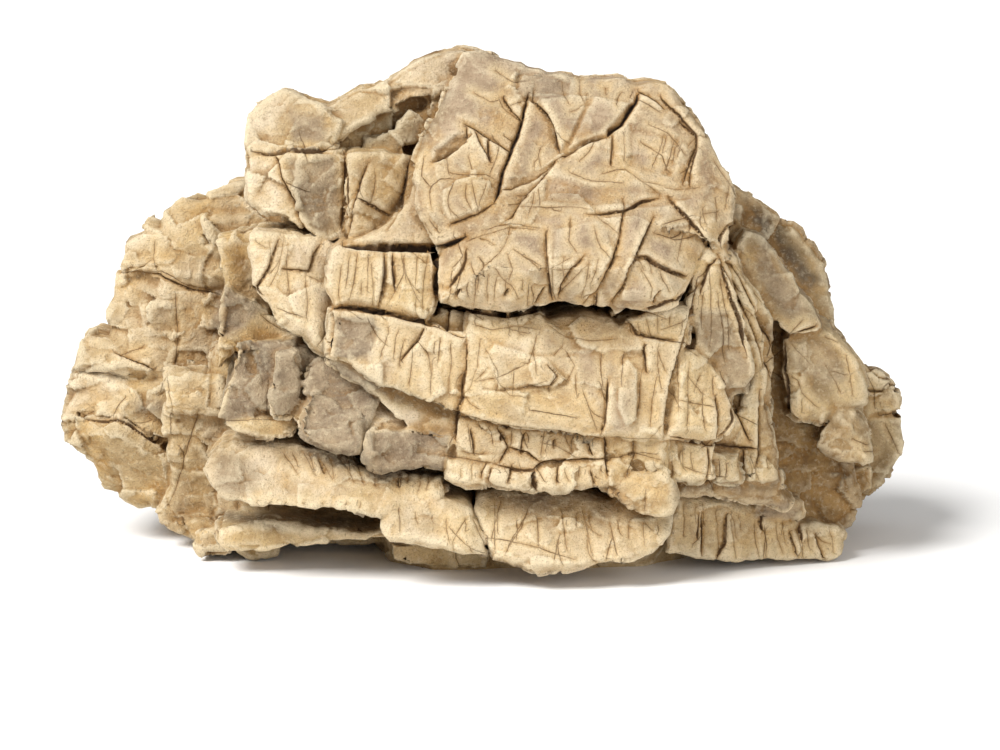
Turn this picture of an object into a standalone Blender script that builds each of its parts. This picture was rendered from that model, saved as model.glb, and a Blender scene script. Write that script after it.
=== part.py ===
"""Pagoda rock: a broad piece of weathered, thin-bedded limestone, 24 cm long.

It is one natural solid. The front is made of beds and joint-bounded blocks, each drawn as the outline that
shows from the front and carried back into the rock. The hidden back is courses of broken blocks, ledge on
ledge. All of them are fused into one body, weathered, and ground flat where the rock touches the ground.
"""

import math
import random

import bmesh
import bpy
import numpy as np
from mathutils import Euler, Vector

MM = 0.001

# Driving sizes, in millimetres
EYE_BACK = 886.3  # the front outlines are drawn as seen from this far in front of the rock's middle plane
EYE_RIGHT = 4.6
EYE_UP = 205.5
GRAIN = 1.15  # size of the cells in which the blocks are fused
WEATHER_BROAD = (17.0, 1.1)  # size and depth of the broad unevenness
WEATHER_FINE = (6.0, 0.55)  # size and depth of the small unevenness
JOINT_WIDTH = 1.5
JOINT_DEPTH = 1.7
TRIANGLES = 9200
SEED = 7

STONE_COLOUR = (0.58, 0.44, 0.29, 1.0)
STONE_ROUGHNESS = 0.9


def seen(u, v, y):
    """The point at depth y that shows at (u, v) of the middle plane, from the eye in front."""
    nearer = (y + EYE_BACK) / EYE_BACK
    return Vector((EYE_RIGHT + nearer * (u - EYE_RIGHT), y, EYE_UP + nearer * (v - EYE_UP))) * MM


# Each bed: depth of its face at its middle, back end, lean of the face (per mm to the right, per mm up),
# rounding of its front edge, size of its back end against its front, and its outline seen from the front.
BEDS = {
    "boss": (-38, 27, (0.02, 0.42), ((4, 4), (12, 3.5)), (0.93, 0.86), [
        (-6, 141), (-13, 124), (-17, 118), (-19.5, 111), (-20, 97), (-13, 86), (-12.5, 70), (0, 68), (12, 67.5),
        (19, 69.5), (36, 69), (44, 67), (53, 69), (58, 77), (63, 88), (67, 86), (71, 93), (72, 100), (66, 110),
        (63, 117), (55, 128), (48, 133), (38, 134), (20, 134.8), (9, 138.5), (0, 141.5)]),
    "boss tongue": (-37, 12, (0.05, 0.3), ((1.5, 1.5),), (0.95, 0.95), [
        (-19, 106), (-21, 100), (-27, 93), (-36, 87.2), (-12, 86.6), (-2, 92), (-6, 106)]),
    "crown slope": (-4, 32, (0, 0.5), ((3, 2),), (0.95, 0.84), [
        (-46, 104), (-44, 125), (-37, 129.5), (-25, 133.5), (-18, 138), (-6, 141.3), (4, 138), (4, 104)]),
    "upper left cap": (-20, 24, (0, 0.5), ((3, 2),), (0.9, 0.8), [
        (-66.5, 113), (-65, 124), (-57, 130), (-51, 128), (-43, 125), (-40, 121.5), (-42.5, 115), (-50, 114.5),
        (-61, 113)]),
    "upper left block": (-28, 22, (-0.1, 0.25), ((3, 2.5),), (0.9, 0.85), [
        (-66, 112.5), (-66.5, 100), (-63, 97), (-55, 94.5), (-50, 91), (-45, 89), (-40, 90.5), (-38, 100),
        (-38, 112), (-48, 112)]),
    "brown knuckle": (-30, 5, (0, 0.3), ((3, 3),), (0.9, 0.9), [
        (-38.5, 112), (-30, 113), (-20, 111.5), (-19.5, 103), (-24, 97), (-27, 93), (-32, 87.5), (-38.5, 89),
        (-39, 97)]),
    "left mass top": (9, 44, (-0.12, 0.25), ((4, 3),), (0.82, 0.85), [
        (-102.5, 79.5), (-101.5, 86), (-96.5, 89), (-95, 93), (-91, 91), (-90, 96), (-85, 101), (-77, 101),
        (-70, 104), (-62, 104), (-58, 90), (-60, 77), (-78, 75), (-88, 78)]),
    "left mass": (6, 42, (-0.15, 0.1), ((4, 3),), (0.88, 0.95), [
        (-107, 50), (-106.5, 68), (-103.5, 78), (-88, 77.5), (-78, 74), (-60, 76), (-58, 50), (-80, 46),
        (-95, 47)]),
    "far left slab": (5, 34, (-0.1, 0.2), ((2.5, 2),), (0.85, 0.9), [
        (-116, 51), (-114.5, 57), (-112, 61), (-107, 59.5), (-101, 54.5), (-94, 54), (-94, 50), (-104, 50.5)]),
    "far left block": (4, 36, (-0.18, 0.1), ((3.5, 3),), (0.85, 0.95), [
        (-119, 38), (-117, 50), (-108, 49.5), (-103, 47), (-97, 46.5), (-90, 49), (-86, 40), (-88, 28),
        (-98, 33), (-105, 37)]),
    "far left foot": (2, 32, (-0.18, -0.15), ((3.5, 3),), (0.85, 1.0), [
        (-120.5, 30), (-119.5, 37), (-110, 35.5), (-105, 35.5), (-98, 31.5), (-88, 26), (-84, 14), (-95, 10),
        (-103, 12), (-109, 15), (-111, 17.5), (-112, 24), (-115, 26)]),
    "column ledge": (-15, 26, (-0.2, 0.1), ((2.5, 2),), (0.95, 0.95), [
        (-91, 49), (-75, 49), (-73, 42), (-75, 37), (-90, 38.5)]),
    "column": (-8, 30, (-0.2, -0.1), ((3, 2),), (0.9, 1.0), [
        (-91, 40), (-74, 42), (-72, 14), (-76, 4), (-85, 1), (-92, 4), (-94.5, 9), (-90, 17)]),
    "left toe": (-22, 10, (-0.1, 0), ((2, 1.5),), (0.9, 0.9), [
        (-84, -1), (-83, 4), (-75, 5), (-73, -2), (-75, -4.8), (-80, -5.2)]),
    "shoulder": (-38, 24, (0.1, 0.25), ((3.5, 3),), (0.9, 0.9), [
        (-66, 89.5), (-46, 87.5), (-42, 86), (-44, 80), (-44, 60), (-44.5, 55), (-50, 59.5), (-56, 62.5),
        (-60, 66), (-61, 70), (-65.5, 75), (-66, 88)]),
    "shoulder flank": (-18, 24, (0.2, 0.15), ((3, 2),), (0.9, 0.9), [
        (-76, 88), (-64, 91), (-58, 80), (-58, 68), (-74, 74)]),
    "shoulder facet": (-27, 10, (0.3, 0.1), ((2, 1.5),), (0.9, 0.9), [
        (-74, 75), (-65, 71), (-60, 66), (-56, 61), (-62, 59), (-70, 58), (-76, 50)]),
    "split block": (-46.5, 10, (0, 0.15), ((1.5, 1.5),), (0.95, 0.95), [
        (-43, 85), (-40, 86.5), (-14, 85.5), (-12.5, 80), (-12.5, 71), (-16, 64.5), (-24, 66.5), (-37, 68.5),
        (-43, 69.5), (-44.5, 75)]),
    "middle bed left": (-48, 24, (0, 0.12), ((1.2, 1.2),), (0.95, 0.95), [
        (-43.5, 66), (-30, 66), (-15, 62.3), (-5, 59.5), (-8, 38.2), (-20, 42), (-28, 45.5), (-36, 51),
        (-45, 54.5)]),
    "middle bed": (-50, 46, (0.02, 0.12), ((1.2, 1.2), (7, 1.5)), (0.95, 0.95), [
        (-4.5, 59.5), (0, 63.5), (10, 62.5), (17, 62), (20, 57), (40, 56), (46, 59), (57, 57.5), (54.5, 49),
        (52, 40), (50.5, 31), (33.5, 31), (22, 33), (5, 35), (-7.5, 38)]),
    "under lip": (-38, 20, (0, 0), ((1.5, 1),), (0.95, 0.95), [
        (16, 55), (16, 66), (42, 66), (42, 55)]),
    "grey block one": (-39, 26, (0.15, 0.12), ((2.5, 2),), (0.9, 0.95), [
        (-76, 37), (-72, 50), (-70, 57.5), (-62, 58.5), (-54, 59), (-47, 54), (-50, 46), (-53, 40), (-54.5, 31.5),
        (-65, 31), (-71, 33)]),
    "grey block two": (-45, 20, (0.05, 0.15), ((2.5, 2.5),), (0.95, 0.95), [
        (-50, 51), (-46, 54.5), (-40, 52.8), (-35, 49), (-29, 43), (-33, 36), (-35.5, 27), (-42, 26.5),
        (-50, 29), (-53, 31), (-54, 37), (-52, 42)]),
    "grey block three": (-50, 20, (0.02, 0.2), ((2.5, 2.5),), (0.95, 0.95), [
        (-29, 43.5), (-20, 41), (-8.5, 37.5), (-8, 30), (-12, 21.5), (-30, 21.8), (-34, 25), (-32, 34)]),
    "lower bed": (-45, 22, (-0.05, 0.2), ((2.5, 2.5),), (0.92, 0.95), [
        (-80.5, 22), (-76, 28.5), (-72, 30), (-53, 30), (-40, 26), (-34, 22), (-12, 20), (-12, 14), (-30, 7.5),
        (-38, 10), (-50, 10.5), (-67, 11.5), (-76, 14)]),
    "lower slab": (-37, 24, (0, 0), ((1.5, 1.5),), (0.95, 1.0), [
        (-77, 1), (-76, 4.5), (-62, 6.8), (-50, 4.6), (-30, 4), (-26, 1), (-30, 0.5), (-57, -0.5), (-64, -2.5),
        (-74, -2.5)]),
    "left foot": (-22, 16, (0, 0), ((2, 2),), (0.9, 0.9), [
        (-72, 3), (-58, 3), (-59, -3.8), (-68, -5.2), (-71, -3.5)]),
    "front bed": (-52, 10, (0.02, 0.25), ((2.5, 2.5),), (0.9, 1.0), [
        (-30, 5), (-29, 9), (-26, 13), (-22, 14.5), (-15, 13.5), (-4, 9.5), (-2, 4), (0, 1), (0, -3), (-10, -2.5),
        (-18, -0.5), (-27, 1)]),
    "front foot": (-34, 30, (0, 0), ((2, 2),), (0.9, 0.9), [
        (-28, 1), (-27, -5.5), (-20, -7.4), (-10, -8.4), (1, -7), (4, 1)]),
    "front bed right": (-49, 30, (0.02, 0.3), ((2.5, 2.5),), (0.95, 1.0), [
        (-1, 15), (-2.5, 9), (0.5, 3), (3, -4), (12, -7), (25, -7.5), (43, -6), (50, -2), (53.5, 3), (54, 9),
        (45, 9), (30, 11.5), (25, 13.5), (5, 15)]),
    "row block left": (-52.5, 20, (0, 0.2), ((1.2, 1.5),), (0.95, 0.95), [
        (-10.5, 25), (-11, 19), (-7, 17.6), (8, 16.3), (14.3, 15.2), (14.6, 22.3), (3, 23.6)]),
    "row block right": (-51.5, 20, (0, 0.2), ((1.2, 1.5),), (0.95, 0.95), [
        (15.8, 22.6), (15.8, 15.8), (20, 14.8), (34, 14.5), (38, 17), (36, 22), (28, 25), (19, 24.2)]),
    "second row": (-50.5, 24, (0, 0.15), ((1, 1),), (0.95, 0.95), [
        (-8, 36.5), (-7, 26), (3, 24.5), (17, 25.8), (34, 26), (34, 30.5), (22, 32), (5, 34)]),
    "round block": (-52, 10, (0.05, 0.25), ((2.5, 2.5), (5, 1.5)), (0.9, 0.9), [
        (37, 15), (40, 18.5), (43, 20.8), (50, 21), (54, 18.5), (55.5, 14), (54.5, 9.5), (50, 7.5), (41, 9.5),
        (37, 12)]),
    "rubble seat": (-44, 20, (0, 0.1), ((2, 1.5),), (0.95, 0.95), [
        (34, 14), (34, 31), (52, 32), (53, 18), (50, 12)]),
    "wedge": (-48, 14, (0, 0.1), ((1.2, 1.2),), (0.95, 0.95), [
        (39.5, 65), (44, 66.5), (48, 68), (58, 68), (59, 63), (57, 58.5), (46, 60), (43, 61.5)]),
    "right shoulder": (-47, 26, (0.25, 0.1), ((1.2, 1),), (0.92, 0.95), [
        (53, 57), (60, 57), (64, 52.5), (70, 50), (72, 43), (72, 36), (67, 29.8), (51.5, 31), (52, 40)]),
    "right step one": (-46, 24, (0.2, 0.15), ((1.8, 1.8),), (0.92, 0.95), [
        (51, 27.5), (53, 28.8), (64, 28), (64.3, 24), (63.3, 17.6), (58, 17.8), (55, 20.5), (51.5, 23)]),
    "right step two": (-42, 24, (0.25, 0.15), ((1.8, 1.8),), (0.92, 0.95), [
        (65.6, 28), (73.4, 27), (73.4, 18.2), (70, 17.5), (66, 18)]),
    "right step three": (-37, 24, (0.3, 0.15), ((1.8, 1.8),), (0.92, 0.95), [
        (74.8, 27.2), (81, 26), (84, 22), (84, 19), (80, 17.8), (75, 18.2)]),
    "fin one": (-43, 24, (0.3, 0.05), ((2, 1.5),), (0.95, 0.95), [
        (64, 87), (68, 86.5), (71, 72), (77, 52), (75, 43), (70, 44), (66, 52), (60, 58), (58, 70), (60, 80)]),
    "fin two": (-36, 24, (0.3, 0), ((1.6, 1.2),), (0.95, 0.95), [
        (68, 86), (71, 82.5), (76, 74), (80, 61), (80, 44), (77.5, 36), (74, 40), (77.5, 52), (72.5, 70)]),
    "fin three": (-30, 24, (0.3, 0), ((1.6, 1.2),), (0.95, 0.95), [
        (72, 82), (76, 76), (80, 70), (82.5, 65), (82.5, 60), (81.5, 42), (84, 24), (85, 19), (78, 22),
        (78, 36), (80, 50), (79, 62)]),
    "matrix": (-16, 26, (0.25, 0.05), ((2, 1.5),), (0.95, 0.95), [
        (72, 88), (84, 77), (90, 62), (93, 42), (100, 33), (106, 24), (107.3, 12), (104.5, 5), (96, 3), (80, 4),
        (72, 12)]),
    "collar": (-25, 18, (0.3, 0.2), ((2, 1.8),), (0.9, 0.9), [
        (72, 86), (75, 90), (77, 88), (80, 82), (84, 77), (87, 72), (95, 66), (94, 63.5), (87, 61.5), (80, 70),
        (75, 77)]),
    "right block": (-16, 30, (0.25, 0.1), ((3, 2.5),), (0.9, 0.95), [
        (86, 60), (95, 64), (99.5, 62), (106, 54), (109, 46), (109.5, 41), (105, 40), (100, 39), (97, 34.8),
        (90, 35.5), (87, 38), (85, 50)]),
    "right small block": (-22, 26, (0.25, 0.15), ((2.5, 2.5),), (0.9, 0.95), [
        (101, 39.5), (106, 39), (111, 33), (112, 28), (112, 23.5), (109, 22.5), (98, 26), (95, 28.5), (98, 34.5)]),
    "rear fin upper": (14, 30, (-0.1, 0.2), ((2, 1.5),), (0.85, 0.9), [
        (98, 60), (104, 57), (109, 51.5), (113, 49.5), (117, 46.5), (119, 43), (119.5, 38.5), (104, 36)]),
    "rear fin lower": (12, 32, (-0.1, 0), ((2, 1.5),), (0.85, 1.0), [
        (104, 38), (119.5, 37.5), (120.5, 30), (120, 26), (117.5, 23), (114, 17), (110, 14), (100, 10)]),
    "rear ridge": (4, 40, (0.1, 0.3), ((2.5, 2),), (0.85, 0.85), [
        (58, 104), (71, 104), (77, 100), (83.5, 94.5), (81, 88), (76, 84), (60, 84)]),
    "rear ridge right": (8, 40, (0.1, 0.2), ((2.5, 2),), (0.85, 0.85), [
        (80, 93), (87, 92), (91, 88), (95, 83), (98, 76), (99.5, 68), (100, 60), (88, 58), (76, 66), (76, 88)]),
    "right base": (-30, 30, (0.35, 0.15), ((2, 1.8),), (0.92, 1.0), [
        (53, 3), (54, 14), (64, 13), (75, 12), (80, 9), (90, 6), (101, 5), (104, 3), (103.5, -3.5), (100, -5.2),
        (80, -5), (65, -5.3), (57, -3.5), (52, -2.5)]),
    "right ledge": (-36, 22, (0.35, 0.1), ((1.5, 1.2),), (0.92, 0.95), [
        (55, 14), (56, 18), (84, 18.5), (92, 13), (90, 9), (80, 11.5), (66, 14)]),
}

# Each course of the back: bottom, top, left end, right end, furthest back of it, and how many blocks wide
COURSES = [
    (3, 15, -80, 99, 47, 5),
    (15, 31, -107, 110, 55, 5),
    (31, 42, -112, 110, 50, 6),
    (42, 58, -103, 100, 57, 5),
    (58, 68, -99, 93, 51, 5),
    (68, 83, -92, 84, 54, 4),
    (83, 95, -80, 74, 47, 4),
    (95, 108, -62, 62, 42, 3),
    (108, 121, -58, 54, 33, 3),
    (121, 130, -16, 44, 24, 2),
]
COURSE_FRONT = 4  # depth at which the courses of the back meet the beds of the front
COURSE_ROUND = 2.4  # power of the curve that rounds the ends of a course in plan
COURSE_TURN = 9  # most that a block of a course is turned from its neighbours, in degrees

# The solid heart that every bed and course meets: lowest corner and highest corner
HEART = [
    ((-78, -14, 3), (86, 30, 60)),
    ((-56, -12, 50), (60, 24, 104)),
    ((-98, 12, 16), (98, 30, 56)),
]

# The sole: its outline in plan, and how far it stands below the ground before it is ground flat
SOLE = [(-26, -22), (-14, -33), (4, -31), (26, -30), (44, -27), (57, -16), (60, 4), (48, 22), (30, 33), (6, 30),
        (-12, 36), (-27, 20), (-31, 2)]
SOLE_BELOW = 2
SOLE_TOP = 14
SOLE_GROWS = 1.12  # width of the sole's top against its bottom

# Hollows and swellings of the weathered face: place as seen from the front, depth, radius, and how deep
BRUSHES = [
    (-55, 54, -40, 7, 2.6), (-79, 88, 4, 4, 4.5), (-98, 50, 4, 5, 5.0), (-97, 40, 4, 6, 1.2),
    (-36, 60, -48, 7, 2.0), (46, 41, -50, 7, 1.8), (-71, 80, 0, 6, 1.5), (81, 56, -20, 4, 2.5),
    (82, 92, 2, 4, 3.0), (88, 74, 0, 7, 2.5), (45, 26, -46, 5, 1.5), (96, 12, -12, 6, 1.5),
    (30, 100, -44, 24, -2.5), (2, 108, -36, 12, -1.2), (54, 112, -32, 9, -1.0), (-6, 96, -40, 10, -1.0),
]

# The wide joints of the front, each a line as seen from the front, with its depth
JOINTS = [
    (-34, [(12.8, 130), (9.5, 117), (4.5, 102), (-2, 95.5), (-10, 92)]),
    (-34, [(43, 130), (39, 121), (34.5, 117), (21.5, 111.5), (14, 105.5), (5, 102.5)]),
    (-44, [(39, 99.8), (38.5, 89), (35, 79), (28, 69.5)]),
    (-40, [(-40, 86.5), (-13, 86), (-5, 89)]),
    (-46, [(-43, 67), (-45, 54.5)]),
    (-49, [(-43, 67), (-24, 65.5), (-5, 59.5), (-6.5, 43), (-8, 38)]),
    (-48, [(60, 63), (57, 57), (52, 41), (51, 27)]),
    (-36, [(70, 73), (76, 60), (78.5, 50)]),
    (-44, [(51.5, 29.5), (70, 28.5), (82, 26)]),
    (2, [(-102.5, 79), (-88, 77.5), (-78, 74)]),
    (2, [(-115, 37), (-105, 37), (-98, 33), (-91, 29.5)]),
]


def clear_scene():
    for obj in list(bpy.data.objects):
        bpy.data.objects.remove(obj, do_unlink=True)


def add_bed(bm, front, back, lean, rounding, taper, outline):
    """A bed drawn by its outline, with a rounded face in front and a narrowing run into the rock behind."""
    middle_u = sum(u for u, v in outline) / len(outline)
    middle_v = sum(v for u, v in outline) / len(outline)
    ring = []
    for u, v in outline:
        depth = front + lean[0] * (u - middle_u) + lean[1] * (v - middle_v)
        ring.append(bm.verts.new(seen(u, v, depth)))
    face = bm.faces.new(ring)
    centre = sum((vert.co for vert in ring), Vector()) / len(ring)
    floor = min(vert.co.z for vert in ring)
    start = [vert.co.copy() for vert in ring]
    cap = face
    for step in (0.35, 0.7, 1.0):
        grown = bmesh.ops.extrude_face_region(bm, geom=[cap])["geom"]
        cap = next(part for part in grown if isinstance(part, bmesh.types.BMFace))
        shrink_x = 1 - (1 - taper[0]) * step**2
        shrink_z = 1 - (1 - taper[1]) * step**2
        for vert, first in zip(cap.verts, start):
            vert.co.x = centre.x + (first.x - centre.x) * shrink_x
            vert.co.y = first.y + (back * MM - first.y) * step
            vert.co.z = floor + (first.z - floor) * shrink_z
    for inset, swell in rounding:
        bmesh.ops.inset_region(bm, faces=[face], thickness=inset * MM, use_even_offset=True)
        bmesh.ops.translate(bm, verts=face.verts, vec=(0, -swell * MM, 0))


def add_block(bm, low, high, bevel, jitter, tilt, chance):
    """A broken block between two corners, turned a little, its own corners knocked about and its edges worn."""
    made = bmesh.ops.create_cube(bm, size=1.0)["verts"]
    centre = (Vector(low) + Vector(high)) / 2
    size = Vector(high) - Vector(low)
    turn = Euler([math.radians(chance.uniform(-tilt, tilt)) * share for share in (0.4, 0.4, 1)])
    bmesh.ops.scale(bm, verts=made, vec=size * MM)
    bmesh.ops.rotate(bm, verts=made, cent=(0, 0, 0), matrix=turn.to_matrix())
    bmesh.ops.translate(bm, verts=made, vec=centre * MM)
    for vert in made:
        vert.co += Vector([chance.uniform(-jitter, jitter) * MM for axis in range(3)])
    edges = {edge for vert in made for edge in vert.link_edges}
    bmesh.ops.bevel(bm, geom=list(edges), offset=bevel * MM, segments=2, profile=0.5, affect="EDGES", material=-1)


def add_back(bm, chance):
    """Courses of blocks, one on another, whose ends round forward in plan as a weathered outcrop does."""
    for bottom, top, left, right, back, count in COURSES:
        cuts = [left + (right - left) * i / count for i in range(count + 1)]
        cuts = [cut + chance.uniform(-7, 7) * (0 < i < count) for i, cut in enumerate(cuts)]
        half = (right - left) / 2
        for start, end in zip(cuts, cuts[1:]):
            away = abs((start + end - left - right) / 2) / half
            reach = COURSE_FRONT + (back - COURSE_FRONT) * (1 - away**COURSE_ROUND) ** 0.5 + chance.uniform(-4, 4)
            low = (start - 0.4, COURSE_FRONT - 18 * (away < 0.6), bottom - 0.6 + chance.uniform(-1.2, 1.2))
            high = (end + 0.4, max(reach, 20), top + 0.6 + chance.uniform(-1.5, 1.5))
            add_block(bm, low, high, 2.2, 2.2, COURSE_TURN, chance)


def add_sole(bm):
    """The lump under the middle that carries the rock."""
    ring = [bm.verts.new(Vector((x, y, -SOLE_BELOW)) * MM) for x, y in SOLE]
    face = bm.faces.new(ring)
    grown = bmesh.ops.extrude_face_region(bm, geom=[face])["geom"]
    top = [part for part in grown if isinstance(part, bmesh.types.BMVert)]
    bmesh.ops.translate(bm, verts=top, vec=(0, 0, (SOLE_TOP + SOLE_BELOW) * MM))
    bmesh.ops.scale(bm, verts=top, vec=(SOLE_GROWS, SOLE_GROWS, 1))


def build_blocks():
    """All beds, courses and the heart as overlapping closed bodies in one mesh."""
    chance = random.Random(SEED)
    bm = bmesh.new()
    for front, back, lean, rounding, taper, outline in BEDS.values():
        add_bed(bm, front, back, lean, rounding, taper, outline)
    add_back(bm, chance)
    for low, high in HEART:
        add_block(bm, low, high, 5, 2, 0, chance)
    add_sole(bm)
    bmesh.ops.recalc_face_normals(bm, faces=bm.faces[:])
    bmesh.ops.triangulate(bm, faces=bm.faces[:])
    mesh = bpy.data.meshes.new("pagoda_rock")
    bm.to_mesh(mesh)
    bm.free()
    rock = bpy.data.objects.new("pagoda_rock", mesh)
    bpy.context.scene.collection.objects.link(rock)
    return rock


def apply_modifiers(rock):
    """Replace the rock's mesh by the mesh that its modifiers give."""
    graph = bpy.context.evaluated_depsgraph_get()
    mesh = bpy.data.meshes.new_from_object(rock.evaluated_get(graph))
    rock.modifiers.clear()
    rock.data = mesh


def fuse(rock):
    remesh = rock.modifiers.new("fuse", "REMESH")
    remesh.mode = "VOXEL"
    remesh.voxel_size = GRAIN * MM
    apply_modifiers(rock)


def keep_largest(rock):
    """Drop any crumb or closed pocket, so that one skin is left."""
    bm = bmesh.new()
    bm.from_mesh(rock.data)
    left = set(bm.verts)
    shells = []
    while left:
        shell = {left.pop()}
        edge_of = list(shell)
        while edge_of:
            vert = edge_of.pop()
            for edge in vert.link_edges:
                other = edge.other_vert(vert)
                if other in left:
                    left.remove(other)
                    shell.add(other)
                    edge_of.append(other)
        shells.append(shell)
    shells.sort(key=len)
    spare = [vert for shell in shells[:-1] for vert in shell]
    bmesh.ops.delete(bm, geom=spare, context="VERTS")
    bm.to_mesh(rock.data)
    bm.free()


def smooth_noise(points, size, seed):
    """Smooth random values from -1 to 1, one for each point, that change over the given size in mm."""
    table = np.random.default_rng(seed).uniform(-1, 1, 4096)
    spot = points / (size * MM)
    cell = np.floor(spot).astype(np.int64)
    part = spot - cell
    part = part * part * (3 - 2 * part)
    value = np.zeros(len(points))
    for corner in range(8):
        offset = np.array([corner & 1, (corner >> 1) & 1, corner >> 2])
        weight = np.where(offset, part, 1 - part).prod(axis=1)
        index = ((cell + offset) * [73856093, 19349663, 83492791]).sum(axis=1) % len(table)
        value += weight * table[index]
    return value


def line_distance(points, line):
    """Distance from each point to a line of straight stretches."""
    nearest = np.full(len(points), np.inf)
    for start, end in zip(line, line[1:]):
        along = end - start
        share = np.clip((points - start) @ along / (along @ along), 0, 1)
        nearest = np.minimum(nearest, np.linalg.norm(points - start - share[:, None] * along, axis=1))
    return nearest


def front_reading(points):
    """Where each point shows on the middle plane, in metres, from the eye in front."""
    nearer = (points[:, 1] + EYE_BACK * MM) / (EYE_BACK * MM)
    u = EYE_RIGHT * MM + (points[:, 0] - EYE_RIGHT * MM) / nearer
    v = EYE_UP * MM + (points[:, 2] - EYE_UP * MM) / nearer
    return np.stack([u, v], axis=1)


def weather(rock):
    """Hollow and swell the face, open the wide joints and roughen the whole skin."""
    mesh = rock.data
    points = np.empty(len(mesh.vertices) * 3)
    mesh.vertices.foreach_get("co", points)
    points = points.reshape(-1, 3)
    normals = np.empty(len(mesh.vertices) * 3)
    mesh.vertex_normals.foreach_get("vector", normals)
    normals = normals.reshape(-1, 3)
    depth = np.zeros(len(points))
    for u, v, y, radius, amount in BRUSHES:
        away = np.linalg.norm(points - np.array(seen(u, v, y)), axis=1) / (radius * MM)
        depth += amount * np.clip(1 - away**2, 0, None) ** 2
    shown = front_reading(points)
    for y, line in JOINTS:
        away = line_distance(shown, np.array(line) * MM) / (JOINT_WIDTH * MM)
        near = np.abs(points[:, 1] - y * MM) < 16 * MM
        depth += JOINT_DEPTH * np.clip(1 - away, 0, None) * near * (normals[:, 1] < 0.2)
    for seed, (size, amount) in enumerate((WEATHER_BROAD, WEATHER_FINE)):
        depth += amount * smooth_noise(points, size, seed)
    points -= normals * depth[:, None] * MM
    mesh.vertices.foreach_set("co", points.ravel())
    mesh.update()


def relax(rock, repeats):
    bm = bmesh.new()
    bm.from_mesh(rock.data)
    for turn in range(repeats):
        bmesh.ops.smooth_vert(bm, verts=bm.verts, factor=0.5, use_axis_x=True, use_axis_y=True, use_axis_z=True)
    bm.to_mesh(rock.data)
    bm.free()


def thin_out(rock):
    decimate = rock.modifiers.new("fewer faces", "DECIMATE")
    decimate.ratio = TRIANGLES / (2 * len(rock.data.polygons))
    decimate.use_collapse_triangulate = True
    apply_modifiers(rock)


def grind_flat(rock):
    """Cut the underside off at the ground, which leaves the flat spots that the rock rests on."""
    bpy.ops.mesh.primitive_cube_add(size=0.4, location=(0, 0, -0.2))
    ground = bpy.context.object
    ground.name = "ground"
    ground.hide_render = True
    ground.display_type = "WIRE"
    cut = rock.modifiers.new("ground", "BOOLEAN")
    cut.operation = "DIFFERENCE"
    cut.object = ground
    apply_modifiers(rock)
    bpy.data.objects.remove(ground, do_unlink=True)


def centre_on_base(rock):
    """Put the middle of the rock's footprint box over the origin."""
    points = np.empty(len(rock.data.vertices) * 3)
    rock.data.vertices.foreach_get("co", points)
    points = points.reshape(-1, 3)
    shift = (points.min(axis=0) + points.max(axis=0)) / 2
    shift[2] = points[:, 2].min()
    points -= shift
    rock.data.vertices.foreach_set("co", points.ravel())
    rock.data.update()
    print("shift in mm", [round(value / MM, 2) for value in shift])
    print("size in mm", [round(value / MM, 1) for value in points.max(axis=0) - points.min(axis=0)])


def weathered_limestone():
    material = bpy.data.materials.new("weathered_limestone")
    material.use_nodes = True
    shader = material.node_tree.nodes["Principled BSDF"]
    shader.inputs["Base Color"].default_value = STONE_COLOUR
    shader.inputs["Roughness"].default_value = STONE_ROUGHNESS
    shader.inputs["Metallic"].default_value = 0.0
    return material


def main():
    clear_scene()
    rock = build_blocks()
    fuse(rock)
    keep_largest(rock)
    relax(rock, 2)
    weather(rock)
    thin_out(rock)
    grind_flat(rock)
    keep_largest(rock)
    centre_on_base(rock)
    rock.data.materials.clear()
    rock.data.materials.append(weathered_limestone())


main()
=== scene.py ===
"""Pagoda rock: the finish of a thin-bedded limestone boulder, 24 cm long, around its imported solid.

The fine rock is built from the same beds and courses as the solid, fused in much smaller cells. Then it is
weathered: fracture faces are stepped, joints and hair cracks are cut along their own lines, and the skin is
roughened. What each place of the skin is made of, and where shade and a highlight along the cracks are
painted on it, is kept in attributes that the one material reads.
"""

import math
import random

import bmesh
import bpy
import numpy as np
from mathutils import Euler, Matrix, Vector


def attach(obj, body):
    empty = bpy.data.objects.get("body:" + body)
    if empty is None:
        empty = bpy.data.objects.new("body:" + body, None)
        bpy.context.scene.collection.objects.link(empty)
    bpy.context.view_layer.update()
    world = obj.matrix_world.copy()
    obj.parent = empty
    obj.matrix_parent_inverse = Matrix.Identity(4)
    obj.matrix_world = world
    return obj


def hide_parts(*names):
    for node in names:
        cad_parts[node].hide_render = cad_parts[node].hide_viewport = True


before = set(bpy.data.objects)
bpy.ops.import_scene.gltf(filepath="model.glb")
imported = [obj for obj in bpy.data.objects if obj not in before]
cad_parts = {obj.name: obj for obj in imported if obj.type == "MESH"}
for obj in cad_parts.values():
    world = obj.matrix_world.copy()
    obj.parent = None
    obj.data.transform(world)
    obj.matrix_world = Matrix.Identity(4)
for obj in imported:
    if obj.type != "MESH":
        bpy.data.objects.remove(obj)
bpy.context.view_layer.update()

MM = 0.001
SEED = 7

# The eye from which the outlines and cracks are drawn, in millimetres from the rock's middle plane
EYE_BACK = 886.3
EYE_RIGHT = 4.6
EYE_UP = 205.5
LOOKED_AT = (4.6, 0, 49.2)
ROCK_MIDDLE = (0.31, 2.63)  # middle of the rock's box in plan, which lies over the origin in the end
PICTURE_LENS = 113.68
PICTURE_SENSOR = 36

# The mesh, sizes in millimetres
GRAIN = 0.56  # size of the cells in which the blocks are fused
TRIANGLES = 196000
TRIANGLES_BEHIND = 56000
THINNED_FROM = 14  # from this depth on the skin counts as behind where faces are thinned

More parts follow.
